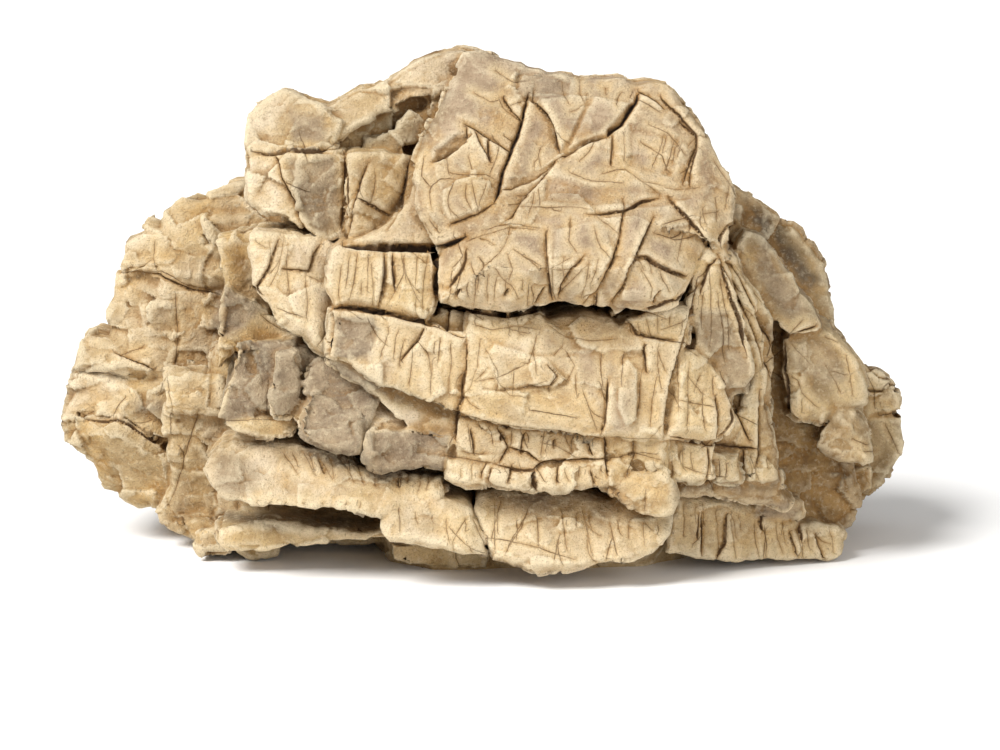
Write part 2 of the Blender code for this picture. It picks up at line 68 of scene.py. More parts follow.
# The beds, in millimetres
CHIP_SPACING = 2.0
CHIP_SIZE = 0.45
CHIP_DRIFT = 0.3  # share of the spacing by which a chip may lie off its place
CORNER_SHARE = 0.5  # how far a corner is knocked off its place, against a chip
RUN_STEPS = (0.35, 0.7, 1.0)  # shares of its run into the rock at which a bed narrows
DOMED_FROM = 3.0  # an inset this wide shrinks a face towards its middle

# Unevenness of the whole form: size and depth of each, in millimetres
WEATHER = ((17.0, 1.1), (6.0, 0.3))

# Fracture faces: size of the faces across, deep and up, how far they stand apart, and the seed of each
FACETS = (((13, 13, 9), 1.3, 61), ((6, 6, 4), 0.45, 62), ((3, 3, 2.2), 0.1, 63))
FACET_SHARE = {"grey": 0.9, "broken": 0.7, "rust": 0.3, "smooth": -0.15, "all": 0.45}
FACET_LIFT = 0.3  # how much of that they are lifted, and the rest is their tilt
FACET_WAVE = (0.8, 7, 60)  # how far their edges are bent, over which size, and seed

# Lumps of the skin: their size and depth in millimetres, and how rough each kind of skin is
ROUGHNESS = ((3.4, 0.06), (1.9, 0.06), (1.15, 0.06))
ROUGH_SHARE = {"rust": 2.6, "painted_shade": 2.6, "grey": -0.25, "smooth": -0.2, "all": 0.7}
ROUGH_SEED = 70

# Wear: how often the skin is averaged for its small hollows, its broad ones and the way that it faces, then
# how fast dirt, with painted shade, comes in there, and how fast wear does where the skin stands out
NEAR_TURNS, FAR_TURNS, FACING_TURNS = 8, 40, 6
DIRT_AND_SHADE_NEAR, DIRT_AND_SHADE_NEAR_MOST, DIRT_AND_SHADE_FAR, DIRT_AND_SHADE_FAR_LEAST = 1.8, 0.5, 0.4, 0.05
WORN_NEAR, WORN_FAR, WORN_LEAST = 3.5, 0.4, 0.25
UNMARKED = 0.6  # how much less worn rust is, and how much fainter every mark is on grey stone

# Each bed: depth of its face at its middle, back end, lean of the face (per mm to the right, per mm up),
# rounding of its front edge, size of its back end against its front, and its outline seen from the front.
BEDS = {
    "boss": (-38, 27, (0.02, 0.42), ((1.2, 1.6), (5, 3), (12, 3)), (0.93, 0.86), [
        (-6, 141), (-13, 124), (-17, 118), (-19.5, 111), (-20, 97), (-13, 86), (-12.5, 70), (-5, 69),
        (0, 68), (7, 67), (12, 67.5), (16, 69), (19, 69.5), (25, 69), (31, 67.8), (36, 68.6), (44, 67.4),
        (49, 67.6), (53, 69), (55, 70.5), (58, 77), (63, 88), (67, 86), (69, 89), (71, 93), (72, 100),
        (70, 105), (66, 110), (63, 117), (60, 121), (55, 128), (52, 132), (48, 133), (43, 132), (38, 134),
        (30, 133.5), (20, 134.8), (14, 136.5), (9, 138.5), (3, 140), (0, 141.5)]),
    "boss tongue": (-37, 12, (0.05, 0.3), ((1, 1.2),), (0.95, 0.95), [
        (-19, 106), (-21, 100), (-27, 93), (-32, 89), (-37, 87.2), (-30, 86.6), (-12, 86.6), (-2, 92),
        (-6, 106)]),
    "crown slope": (-13, 32, (0, 0.5), ((0.8, 0.8),), (0.95, 0.84), [
        (-47, 116), (-44, 125), (-37, 129.5), (-33, 130), (-25, 133.5), (-18, 138), (-10, 140.5),
        (-6, 141.3), (4, 138), (0, 131), (-6, 131), (-13, 129), (-20, 127.5), (-28, 124), (-36, 120),
        (-41, 116)]),
    "niche wall": (-10, 34, (0.1, 0.1), ((0.5, 0.5),), (0.95, 0.95), [
        (-48, 106), (-45, 121), (-37, 126), (-26, 130), (-12, 135), (2, 138), (2, 106)]),
    "upper left cap": (-20, 24, (0, 0.5), ((0.8, 0.7),), (0.9, 0.8), [
        (-66.5, 112.3), (-66, 120), (-65, 124), (-61, 128), (-57, 130), (-51, 128), (-45, 125.5),
        (-40, 121.5), (-41.5, 118), (-42.5, 113), (-50, 112.5), (-61, 112.3)]),
    "upper left block": (-27, 22, (-0.25, 0.15), ((0.8, 0.8),), (0.9, 0.85), [
        (-66, 112.8), (-66.5, 100), (-63, 97), (-55, 94.5), (-51.5, 92), (-53, 100), (-50, 108),
        (-47, 113)]),
    "upper left facet": (-30, 22, (0.25, 0.25), ((0.6, 0.7),), (0.9, 0.85), [
        (-52, 113), (-53.5, 103), (-52.5, 95), (-50, 91), (-45, 88.5), (-39, 88.8), (-38, 100),
        (-38, 112)]),
    "brown knuckle": (-31, 5, (0.1, 0.2), ((0.7, 0.9), (3.5, 1.0)), (0.9, 0.9), [
        (-38.5, 112), (-30, 113), (-20, 111.5), (-19.5, 103), (-24, 97), (-27, 93), (-32, 87.5),
        (-38.5, 89), (-39, 97)]),
    "niche lump one": (-13.5, 4, (0.2, 0.3), ((0.6, 0.7),), (0.9, 0.9), [
        (-24, 116), (-24, 121), (-21, 125), (-17, 124.5), (-15, 120), (-17, 115)]),
    "niche lump two": (-15, 4, (-0.2, 0.4), ((0.6, 0.7),), (0.9, 0.9), [
        (-34, 114), (-33, 117), (-28, 118), (-23, 118.5), (-22, 113)]),
    "left mass top": (9, 44, (-0.12, 0.25), ((0.9, 1), (4, 1.5)), (0.82, 0.85), [
        (-102.5, 78), (-101.5, 86), (-99, 88), (-96.5, 89), (-96.5, 92), (-95, 93), (-91, 91), (-90, 96),
        (-87, 100), (-85, 101), (-80, 100), (-77, 101), (-72, 103), (-62, 104), (-58, 90), (-60, 76),
        (-78, 74), (-88, 76)]),
    "left mass": (6, 42, (-0.15, 0.1), ((0.9, 1), (4, 1.5)), (0.88, 0.95), [
        (-107, 50), (-106.5, 60), (-106.5, 68), (-105, 74), (-103.5, 78.5), (-88, 77.3), (-78, 74),
        (-60, 76), (-58, 50), (-80, 46), (-95, 47)]),
    "far left slab": (5, 34, (-0.1, 0.2), ((1.2, 1.2),), (0.85, 0.9), [
        (-116, 51), (-114.5, 57), (-112, 61), (-107, 59.5), (-101, 54.5), (-94, 54), (-94, 50),
        (-104, 50.5)]),
    "far left block": (4, 36, (-0.18, 0.1), ((1.4, 1.5),), (0.85, 0.95), [
        (-119, 38), (-117.5, 44), (-117, 50), (-108, 49.5), (-103, 47), (-97, 46.5), (-90, 49), (-86, 40),
        (-88, 28), (-91, 29.5), (-98, 33), (-105, 37), (-115, 37)]),
    "far left foot": (2, 32, (-0.18, -0.15), ((0.9, 1), (4, 1.5)), (0.85, 1.0), [
        (-120.5, 30), (-119.5, 37), (-110, 36.2), (-105, 36.2), (-98, 32.3), (-88, 26), (-84, 14), (-91, 9),
        (-95, 10), (-100, 9.5), (-103, 12), (-109, 15), (-111, 17.5), (-112, 24), (-115, 26), (-118, 29)]),
    "column ledge": (-15, 26, (-0.2, 0.1), ((1.2, 1.2),), (0.95, 0.95), [
        (-91, 49), (-83, 49.5), (-75, 49), (-73, 42), (-75, 37), (-82, 38), (-90, 38.5)]),
    "column": (-8, 30, (-0.2, -0.1), ((1.5, 1.5),), (0.9, 1.0), [
        (-91, 40), (-74, 42), (-72, 14), (-76, 4), (-80, 2), (-85, 1), (-92, 4), (-94.5, 9), (-90, 17)]),
    "left crumb": (-16, 6, (0, 0), ((1, 1),), (0.9, 0.9), [
        (-89, 6.5), (-83, 8), (-78, 6), (-78, 2), (-84, 0.5)]),
    "left toe": (-22, 10, (-0.1, 0), ((1, 1),), (0.9, 0.9), [
        (-84, -1), (-83, 4), (-75, 5), (-73, -2), (-75, -4.8), (-80, -5.2)]),
    "shoulder": (-38, 24, (0.1, 0.25), ((0.8, 0.9), (4, 1.0)), (0.9, 0.9), [
        (-66, 89.5), (-57, 89.5), (-46, 87.5), (-42, 86), (-44, 80), (-44, 60), (-44.5, 55), (-47, 56),
        (-50, 59.5), (-56, 62.5), (-60, 66), (-61, 70), (-64, 73), (-65.5, 75), (-66, 88)]),
    "shoulder flank": (-18, 24, (0.2, 0.15), ((1.5, 1.5),), (0.9, 0.9), [
        (-76, 88), (-64, 91), (-58, 80), (-58, 68), (-74, 74)]),
    "shoulder facet": (-27, 10, (0.3, 0.1), ((0.8, 0.8),), (0.9, 0.9), [
        (-74, 75), (-65, 71), (-60, 66), (-56, 61), (-62, 59), (-70, 58), (-76, 50)]),
    "split block": (-46.5, 10, (0, 0.15), ((0.9, 1), (4, 0.8)), (0.95, 0.95), [
        (-43, 85), (-40, 86.5), (-28, 86), (-14, 85.5), (-12.8, 80), (-12.8, 71), (-16, 64.3), (-20, 65),
        (-24, 66.2), (-30, 67.2), (-37, 68), (-43, 69), (-44.5, 75), (-44, 82)]),
    "middle bed left": (-49.5, 24, (0, 0.12), ((0.8, 0.9),), (0.95, 0.95), [
        (-43.5, 68.6), (-37, 68), (-30, 67), (-24, 66), (-16, 64.2), (-5, 60.2), (-6.3, 48), (-8, 38),
        (-12, 38.4), (-20, 42), (-24, 44), (-28, 45.5), (-32, 48), (-36, 51), (-40, 53.5), (-45, 54.5)]),
    "middle bed": (-50, 46, (0.02, 0.12), ((0.7, 0.8), (7, 1.0)), (0.95, 0.95), [
        (-4.5, 60), (-4.2, 67.6), (0, 67.4), (7, 66.4), (12, 66.9), (16, 67.2), (20, 64), (24, 61.4),
        (30, 60.2), (36, 60.6), (40, 61.6), (43, 60.6), (46, 60.3), (57, 58.8), (54.5, 49), (52.5, 40),
        (51.5, 30.8), (42, 30.4), (33.5, 30.8), (28, 31.4), (22, 32.8), (16, 33.2), (10, 34), (5, 34.8),
        (0, 36), (-7.7, 37.6)]),
    "raised strip": (-51.6, 6, (0.02, 0.12), ((0.5, 0.6),), (0.95, 0.95), [
        (35.5, 33), (35.2, 47), (38, 53), (41, 54), (42.5, 47), (41.5, 36), (42, 32)]),
    "middle seat": (-45.5, 10, (0.02, 0.12), ((0.6, 0.5),), (0.95, 0.95), [
        (-44, 66), (-16, 65), (-10, 68.4), (-4, 67.4), (4, 64), (16, 62), (44, 59), (60, 60), (58, 50),
        (54, 32), (66, 29), (66, 19), (54, 19), (38, 17), (10, 18), (-9, 20), (-13, 25), (-32, 44),
        (-44, 53)]),
    "lip seat": (-42, 10, (0.02, 0.12), ((0.6, 0.5),), (0.95, 0.95), [
        (-13, 62), (-12.6, 69), (-5, 68.2), (0, 66.8), (14, 65.5), (16, 60)]),
    "under lip": (-47, 20, (0, 0.5), ((0.7, 0.7),), (0.95, 0.95), [
        (16, 55.5), (16.5, 64), (20, 66), (24, 67), (30, 67.2), (36, 66), (41, 63), (45, 60.5), (46, 56)]),
    "right seat": (-38, 10, (0.3, 0), ((0.6, 0.5),), (0.95, 0.95), [
        (52, 15.5), (52, 34), (66, 36), (80, 42), (83, 30), (85, 17), (84, 14)]),
    "fin seat": (-36, 10, (0.25, 0), ((0.6, 0.5),), (0.95, 0.95), [
        (36, 56), (38, 66.5), (56, 69), (64, 84), (72, 84), (78, 60), (76, 40), (64, 30), (54, 32),
        (54, 56)]),
    "grey block one": (-38.5, 26, (0.15, 0.3), ((0.6, 0.7),), (0.9, 0.95), [
        (-76, 37), (-74, 43), (-72, 50), (-70, 57.5), (-62, 58.5), (-54, 59), (-47, 54), (-50, 46),
        (-53, 40), (-54.5, 31.5), (-65, 31), (-71, 33)]),
    "grey step": (-43, 10, (0.3, 0.1), ((0.6, 0.7),), (0.95, 0.95), [
        (-60, 36.5), (-61, 45), (-59, 56), (-53.5, 56), (-52, 50), (-53, 40), (-54, 36)]),
    "grey block two": (-44.5, 20, (0.05, 0.35), ((0.6, 0.8),), (0.95, 0.95), [
        (-50, 51), (-46, 54.5), (-40, 52.8), (-35, 49), (-29, 43), (-33, 36), (-35.5, 27), (-38, 26.3),
        (-42, 26.5), (-47, 27.5), (-50, 29), (-53, 31), (-54, 37), (-52, 42)]),
    "grey flake": (-47.5, 4, (0.12, 0.3), ((0.5, 0.6),), (0.95, 0.95), [
        (-51.5, 41), (-48, 45), (-44, 43), (-41, 39.5), (-36, 37.5), (-35.5, 28), (-42, 27.5),
        (-49.5, 29.5), (-52.8, 33)]),
    "grey block three": (-50, 20, (0.02, 0.05), ((0.5, 0.5),), (0.95, 0.95), [
        (-32, 33), (-20, 33.6), (-9, 31.8), (-8, 30), (-11, 26), (-12, 21.5), (-20, 21.3), (-30, 21.6),
        (-34, 25), (-33.6, 29)]),
    "block three top": (-43.5, 20, (0.02, 0.9), ((0.6, 0.6),), (0.95, 0.95), [
        (-29, 43.5), (-20, 41), (-8.5, 37.5), (-8, 31), (-12, 31.6), (-20, 33), (-32, 32.5), (-33, 35)]),
    "lower bed": (-45, 22, (-0.05, 0.55), ((0.8, 0.9), (2, 0.8)), (0.92, 0.95), [
        (-80.5, 22), (-76, 28.5), (-72, 30), (-68, 28.5), (-60, 30), (-53, 30), (-40, 26), (-34, 22),
        (-12, 20), (-12, 14), (-20, 11), (-30, 7.5), (-38, 10), (-50, 10.5), (-58, 10.8), (-67, 11.5),
        (-76, 14)]),
    "lower slab": (-37, 24, (0, 0), ((1, 1),), (0.95, 1.0), [
        (-77, 1), (-76, 4.5), (-70, 5.8), (-62, 6.8), (-50, 4.6), (-30, 4), (-26, 1), (-30, 0.5),
        (-57, -0.5), (-64, -2.5), (-74, -2.5)]),
    "left foot": (-22, 16, (0, 0), ((1.4, 1.4),), (0.9, 0.9), [
        (-72, 3), (-58, 3), (-59, -3.8), (-68, -5.2), (-71, -3.5)]),
    "front bed": (-52, 10, (0.02, 0.3), ((0.8, 1), (3, 1.2)), (0.9, 1.0), [
        (-30, 5), (-29, 9), (-26, 13), (-22, 14.5), (-15, 13.5), (-9, 12), (-4, 9.5), (-2, 4), (0, 1),
        (0, -3), (-4, -3.6), (-10, -2.5), (-18, -0.5), (-27, 1)]),
    "front foot": (-34, 30, (0, 0), ((1.4, 1.4),), (0.9, 0.9), [
        (-28, 1), (-27, -5.5), (-20, -7.4), (-10, -8.4), (1, -7), (4, 1)]),
    "front bed right": (-48.5, 30, (0.02, 0.6), ((0.8, 1), (3, 1.2)), (0.95, 1.0), [
        (-1, 15), (-2.5, 9), (0.5, 3), (3, -4), (12, -7), (25, -7.5), (43, -6), (47, -3.8), (50, -2),
        (53.5, 3), (54, 9), (45, 9.6), (40, 11.5), (37, 13), (30, 14.6), (25, 15), (5, 15.2)]),
    "row block left": (-52.5, 20, (0, 0.2), ((0.8, 1), (1.6, 0.6)), (0.95, 0.95), [
        (-11, 25.6), (-11.3, 19), (-7, 17.6), (0, 17.3), (8, 16.3), (14.6, 15.2), (15, 22.2), (11, 21.8),
        (3, 23), (-6, 24.3)]),
    "row block right": (-51.5, 20, (0, 0.2), ((0.8, 1), (1.6, 0.6)), (0.95, 0.95), [
        (15.4, 22.4), (15.4, 15.8), (20, 14.8), (28, 14.8), (34, 14.5), (38, 17), (39, 23), (34, 25),
        (27, 24.7), (17, 23.7)]),
    "second row": (-50.5, 24, (0, 0.15), ((0.6, 0.7),), (0.95, 0.95), [
        (-8, 38), (-8.5, 24.6), (-6, 24), (3, 22.8), (11, 21.6), (15, 22), (17, 23.4), (27, 24.4),
        (34, 24.6), (34.3, 31.2), (28, 32), (22, 33.2), (5, 35.2)]),
    "round block": (-52.5, 10, (0.05, 0.3), ((0.8, 1),), (0.9, 0.9), [
        (35, 14.5), (37, 17), (40, 19.5), (43, 21.4), (50, 21), (54, 18.5), (55.5, 14), (54.5, 9.5),
        (50, 7.5), (46, 8), (41, 9.5), (37, 12)]),
    "rubble seat": (-49.6, 20, (0, 0.1), ((0.6, 0.6),), (0.95, 0.95), [
        (33, 14), (33, 31.5), (52.5, 32), (53, 18), (50, 12)]),
    "rubble one": (-50.3, 0, (0, 0.1), ((0.5, 0.6),), (0.95, 0.95), [
        (34.6, 26), (34.8, 30.8), (42, 30.6), (42.8, 26.8), (39, 25.4)]),
    "rubble two": (-50.5, 0, (0, 0.1), ((0.5, 0.6),), (0.95, 0.95), [
        (43.4, 30.6), (51.4, 31), (51.5, 24), (48, 21.5), (43.3, 24.5)]),
    "rubble three": (-51, 0, (0, 0.1), ((0.5, 0.6),), (0.95, 0.95), [
        (36, 25), (42.6, 25.6), (43, 21.8), (38, 18.5), (35.5, 20)]),
    "wedge": (-48, 14, (0, 0.1), ((0.9, 1),), (0.95, 0.95), [
        (39.5, 65), (44, 66.3), (48, 67.4), (53, 68), (58, 68), (59, 63), (57.5, 57.5), (50, 58.6),
        (46, 59), (43, 60.5)]),
    "lip chip": (-49, 0, (0, 0.1), ((0.7, 0.8),), (0.95, 0.95), [
        (35, 69.4), (38, 69.6), (40, 67.5), (37, 66)]),
    "right shoulder": (-47, 26, (0.25, 0.1), ((0.9, 1), (3, 1)), (0.92, 0.95), [
        (53.5, 57), (60, 57), (64, 52.5), (67, 51), (70, 48), (71, 43), (72, 36), (70, 32), (67, 29.8),
        (60, 30.2), (51.9, 31), (53, 40)]),
    "right step one": (-46, 24, (0.2, 0.15), ((0.9, 1.1), (1.6, 0.5)), (0.92, 0.95), [
        (51, 27.5), (53, 28.8), (64, 28), (64.3, 24), (63.3, 17.6), (58, 17.8), (55, 20.5), (51.5, 23)]),
    "right step two": (-42, 24, (0.25, 0.15), ((0.9, 1.1), (1.4, 0.5)), (0.92, 0.95), [
        (65.4, 28), (73.6, 27), (73.6, 18.2), (70, 17.5), (66, 18)]),
    "right step three": (-37, 24, (0.3, 0.15), ((0.9, 1.1), (1.4, 0.5)), (0.92, 0.95), [
        (74.6, 27.2), (81, 26), (84, 22), (84, 19), (80, 17.8), (75, 18.2)]),
    "fin one": (-43, 24, (0.3, 0.05), ((0.9, 1),), (0.95, 0.95), [
        (64, 87), (68, 86.5), (71, 72), (77, 52), (75, 43), (70, 44), (66, 52), (60, 58), (58, 70),
        (60, 80)]),
    "fin two": (-36, 24, (0.3, 0), ((0.8, 0.8),), (0.95, 0.95), [
        (68, 86), (71, 82.5), (76, 74), (80, 61), (80, 44), (77.5, 36), (74, 40), (77.5, 52), (72.5, 70)]),
    "fin three": (-30, 24, (0.3, 0), ((0.8, 0.8),), (0.95, 0.95), [
        (72, 82), (76, 76), (80, 70), (82.5, 65), (82.5, 60), (81.5, 42), (84, 24), (85, 19), (78, 22),
        (78, 36), (80, 50), (79, 62)]),
    "matrix": (-13, 26, (0.25, 0.05), ((2, 1.5),), (0.95, 0.95), [
        (72, 88), (84, 77), (90, 62), (93, 42), (100, 33), (106, 24), (107.3, 12), (104.5, 5), (96, 3),
        (80, 4), (72, 12)]),
    "collar": (-24, 18, (0.3, 0.2), ((0.7, 0.7),), (0.9, 0.9), [
        (71.5, 86), (74, 90), (78.5, 89), (83, 83.5), (88, 77), (93, 70), (97, 64), (95, 61.5), (87, 60),
        (84, 63), (80, 69), (76, 76)]),
    "right block": (-21, 30, (0.25, 0.1), ((0.8, 1), (4, 0.7)), (0.9, 0.95), [
        (84.5, 60), (88, 61.5), (95, 64), (99.5, 62), (106, 54), (109, 46), (109.5, 41), (105, 40),
        (100, 39), (97, 34.8), (90, 35.5), (87, 38), (85, 50)]),
    "right small block": (-22, 26, (0.25, 0.15), ((1.2, 1.5), (2.5, 1.4)), (0.9, 0.95), [
        (101, 39.5), (106, 39), (111, 33), (112, 28), (112, 23.5), (109, 22.5), (98, 26), (95, 28.5),
        (98, 34.5)]),
    "rear fin upper": (14, 30, (-0.1, 0.2), ((1.2, 1.2),), (0.85, 0.9), [
        (98, 60), (104, 57), (107, 53), (109, 51.5), (113, 49.5), (117, 46.5), (119, 43), (119.5, 38.5),
        (104, 36)]),
    "rear fin lower": (12, 32, (-0.1, 0), ((1.2, 1.2),), (0.85, 1.0), [
        (104, 38), (119.5, 37.5), (120.5, 30), (120, 26), (117.5, 23), (116, 20), (114, 17), (110, 14),
        (100, 10)]),
    "right flake": (-2, 24, (0.1, 0), ((0.8, 0.8),), (0.9, 0.95), [
        (105, 22), (109.5, 22.5), (110.5, 17), (107.5, 14), (104, 16)]),
    "rear ridge": (4, 40, (0.1, 0.3), ((1.2, 1.2),), (0.85, 0.85), [
        (58, 104), (71, 104), (77, 100), (83.5, 94.5), (81, 88), (76, 84), (60, 84)]),
    "rear ridge right": (8, 40, (0.1, 0.2), ((1.2, 1.2),), (0.85, 0.85), [
        (80, 93), (87, 92), (91, 88), (95, 83), (98, 76), (99.5, 68), (100, 60), (88, 58), (76, 66),
        (76, 88)]),
    "right base": (-30, 30, (0.35, 0.25), ((0.8, 0.9), (2, 0.6)), (0.92, 1.0), [
        (53, 3), (54, 14), (64, 13), (75, 12), (80, 9), (90, 6), (101, 5), (104, 3), (103.5, -3.5),
        (100, -5.2), (80, -5), (65, -5.3), (57, -3.5), (52, -2.5)]),
    "right ledge": (-37, 22, (0.35, 0.1), ((0.5, 0.5),), (0.92, 0.95), [
        (55, 14), (56, 16), (70, 16.2), (84, 16), (88, 12.5), (86, 10), (80, 11.5), (66, 14)]),
    "right ledge top": (-35, 22, (0.35, 0.1), ((0.5, 0.5),), (0.92, 0.95), [
        (56, 15.5), (56, 18.4), (84, 18.6), (86, 16.5), (80, 15.2), (70, 15.6)]),
    "right ledge flake": (-27, 14, (0.3, 0), ((0.5, 0.5),), (0.92, 0.95), [
        (78, 7.5), (78.5, 12), (84, 12.6), (90, 12), (91, 8), (86, 6.5)]),
}

# Each course of the back: bottom, top, left end, right end, furthest back of it, and how many blocks wide
COURSES = [
    (3, 15, -80, 99, 47, 5),
    (15, 31, -107, 110, 55, 5),
    (31, 42, -112, 110, 50, 6),
    (42, 58, -103, 100, 57, 5),
    (58, 68, -99, 93, 51, 5),
    (68, 83, -92, 84, 54, 4),
    (83, 95, -80, 74, 47, 4),
    (95, 108, -62, 62, 42, 3),
    (108, 121, -58, 54, 33, 3),
    (121, 130, -16, 44, 24, 2),
]
COURSE_FRONT = 4  # where the blocks of a course begin in front
MIDDLE_REACH = 18  # how much further in front those of its middle begin
MIDDLE_SHARE = 0.6  # how much of each half of a course is its middle
COURSE_ROUND = 2.4  # how square the ends of a course are in plan
COURSE_TURN = 9  # how far a block may be turned, in degrees
JOINT_DRIFT = 7  # how far a joint between two blocks may lie off its place
BACK_DRIFT = 4  # how far the back of a block may lie off its place
LEAST_BACK = 20
SIDE_LAP = 0.4  # how far a block reaches over its joint at each end
BED_LAP = 0.6  # how far a course reaches over its bed joints
FOOT_DRIFT = 1.2
TOP_DRIFT = 1.5
BLOCK_WEAR = (2.2, 2.2)  # width of a block's worn edges, and how far its corners are knocked about

# The heart that joins the beds: blocks between two corners
HEART_WEAR = (5, 2)
HEART = [
    ((-78, -14, 3), (86, 30, 60)),
    ((-56, -12, 50), (60, 24, 104)),
    ((-98, 12, 16), (98, 30, 56)),
]

# The lump under the middle that carries the rock: its outline in plan, and how much wider it is at its top
SOLE = [
    (-26, -22), (-14, -33), (4, -31), (26, -30), (44, -27), (57, -16), (60, 4), (48, 22), (30, 33), (6, 30),
    (-12, 36), (-27, 20), (-31, 2),
]
SOLE_BELOW = 2
SOLE_TOP = 14
SOLE_GROWS = 1.12

# Kinds of stone behind and on top, in patches: size of them, how sharp their borders are, how rare they are,
# and their seed
BEHIND = [
    ("grey", 26, 5.0, 2.0, 50), ("rust", 22, 2.5, 0.5, 52), ("tan", 34, 2.5, 0.2, 54),
    ("cream", 20, 3.0, 0.8, 56),
]

# Hollows and swellings of the weathered face: place as seen from the front, depth, radius, and how deep
BRUSHES = [
    (-97, 40, 4, 6, 1.2), (46, 41, -50, 7, 1.2), (-71, 80, 0, 6, 1.5), (81, 56, -20, 4, 2.5),
    (82, 92, 2, 4, 3.0), (88, 74, 0, 7, 2.5), (45, 26, -46, 5, 1.5), (96, 12, -12, 6, 1.5),
    (30, 100, -44, 24, -2.0), (2, 108, -36, 12, -1.2), (54, 112, -32, 9, -1.0), (-6, 96, -40, 10, -1.0),
]

# Hollows, and chips that stand out, of the front: how deep, how wide their slope is, and their outline
HOLLOWS = [
    (5.0, 0.8, [(-80, 90), (-78.4, 89.6), (-77.6, 86), (-79.4, 86.4)]),
    (1.4, 1.2, [(-68, 58), (-63, 58.5), (-62, 51), (-67, 50)]),
    (1.3, 1.0, [(-14.5, 110.5), (-11, 111.5), (-8, 113.5), (-3.5, 118), (-8, 118), (-14, 114)]),
    (0.8, 0.8, [(9, 137), (20, 135), (25, 133), (24, 128), (14, 127), (9, 129)]),
    (0.7, 0.8, [(61, 67), (70, 67), (76, 52), (76, 44), (70, 43), (65, 52)]),
    (1.2, 1.5, [(16.5, 107), (30, 103), (48, 104), (60, 100), (50, 97), (30, 96), (16, 98)]),
    (0.9, 1.5, [(40, 122), (56, 118), (54, 106), (40, 108)]),
    (-0.9, 0.5, [(20.5, 4), (22, 7.2), (26, 7.5), (29, 5), (26, 3.4), (22, 3)]),
    (-0.7, 0.6, [(0.5, 55), (3, 58.5), (18, 54), (24, 48), (20, 45), (12, 46), (4, 44.5)]),
    (-0.8, 0.5, [(38.5, 52), (41, 54), (44, 51), (44, 36), (40.5, 34), (38, 40)]),
    (-0.9, 0.8, [(14.5, 130), (30, 129), (24.5, 116), (21.5, 112.5), (17.5, 123)]),
    (-0.8, 0.8, [(14, 107), (21, 112), (28, 115), (34.5, 117.5), (42, 127), (31, 129), (22, 111)]),
    (-0.6, 0.8, [(-13, 101), (-8, 105.5), (3, 104.5), (-1, 96.5), (-10, 93)]),
    (-0.7, 0.8, [(40.5, 83), (46, 83), (57, 77), (53, 70), (38, 70)]),
    (-0.5, 0.8, [(20, 91), (34, 93), (37, 84), (32, 75), (24, 70), (19.5, 76)]),
    (-2.0, 1.8, [(-59.3, 64.5), (-57.5, 66.4), (-55.6, 64.5), (-57.5, 62.7)]),
]

# Kinds of cracks, and for each, FINE first: width, depth, how far its stain reaches, and how strong it is
FINE, MEDIUM, WIDE = 0, 1, 2
CRACK_WIDTHS = (0.18, 0.38, 0.75)
CRACK_DEPTHS = (0.15, 0.6, 1.6)
HALO_REACH = (0.7, 1.3, 1.9)
HALO_STRENGTH = (0.4, 0.65, 0.9)

CRACK_REACH = 3.0  # how far from a crack its marks reach
CRACK_STEP = 0.75  # how much one side of a joint may stand above the other
STEP_REACH = 8.0
GROOVE_EDGE = 0.45  # how much wider than half of the crack the groove is on each side
PILLOW = 0.26  # how far the skin rounds down to a crack
PILLOW_REACH = 1.1
PAINTED_HIGHLIGHT_REACH = 1.8  # how far the painted highlight along a crack reaches
CRACK_BREADTH = (0.9, 0.5, 6, 24)  # share of a crack's width, how it varies, over which size, and seed
END_TAPER = (6, 0.3)  # how fast its width and depth grow from its ends, and what they have there
STEP_TAPER = 4
LEAST_STEP = 0.3  # least share of CRACK_STEP that a joint has
FIELDS = 4  # the cracks are dealt out over this many, so that they can cross and branch
FIELD_GAP = 2.5  # least distance between two cracks of the same field

# Waves that a line is bent by: depth, size and seed of each
CRACK_WAVES = ((0.4, 7, 20), (0.14, 1.7, 22))
ZONE_WAVES = ((1.1, 7, 40), (0.5, 2.2, 42))
JOINT_WAVES = ((1.4, 9, 30),)

# Hair cracks that leave the drawn ones
BRANCH_EVERY = 30.0  # length of drawn crack for each of them
BRANCH_TURN = (0.3, 0.9)  # how far they turn away from it, in radians
BRANCH_LENGTH = (3, 8)
BRANCH_BEND = 0.7

# Lines of a comb: how far they lean, as a share of the comb, between which shares of their full length they
# begin, how long they are as a share of that, and how far they are bent
COMB_LEAN = 0.05
COMB_BEGIN = (-0.5, 0.35)
COMB_LENGTH = (0.35, 1.1)
COMB_BEND = 0.7

# The back: from which depth on it begins, the depth, size and seed of its unevenness, and its joints: the
# size of the blocks across, deep and up, the width and depth of the joint, and the seed
BACK_FROM = 12
BACK_WAVE = (1.4, 14, 39)
BACK_JOINTS = (((19, 19, 11), 0.75, 1.2, 33), ((8, 8, 7), 0.45, 0.3, 34))
BACK_HALO = (1.2, 0.5)  # how far the stain of such a joint reaches, and how strong it is
BLOCK_STEP = 0.8  # how far blocks stand apart, as a share of the joint's depth
BLOCK_TILT = 0.35  # how much of that their faces are tilted
LAYER = 6.5  # mean thickness of a bed of the back
LAYER_WAVES = ((1.8, 22, 36), (0.5, 5, 37))
LAYER_GAP = 0.7  # half of the width of the joints between them
LAYER_CUT = 1.2
ZONES_END = 25  # to this depth the zones of the front reach

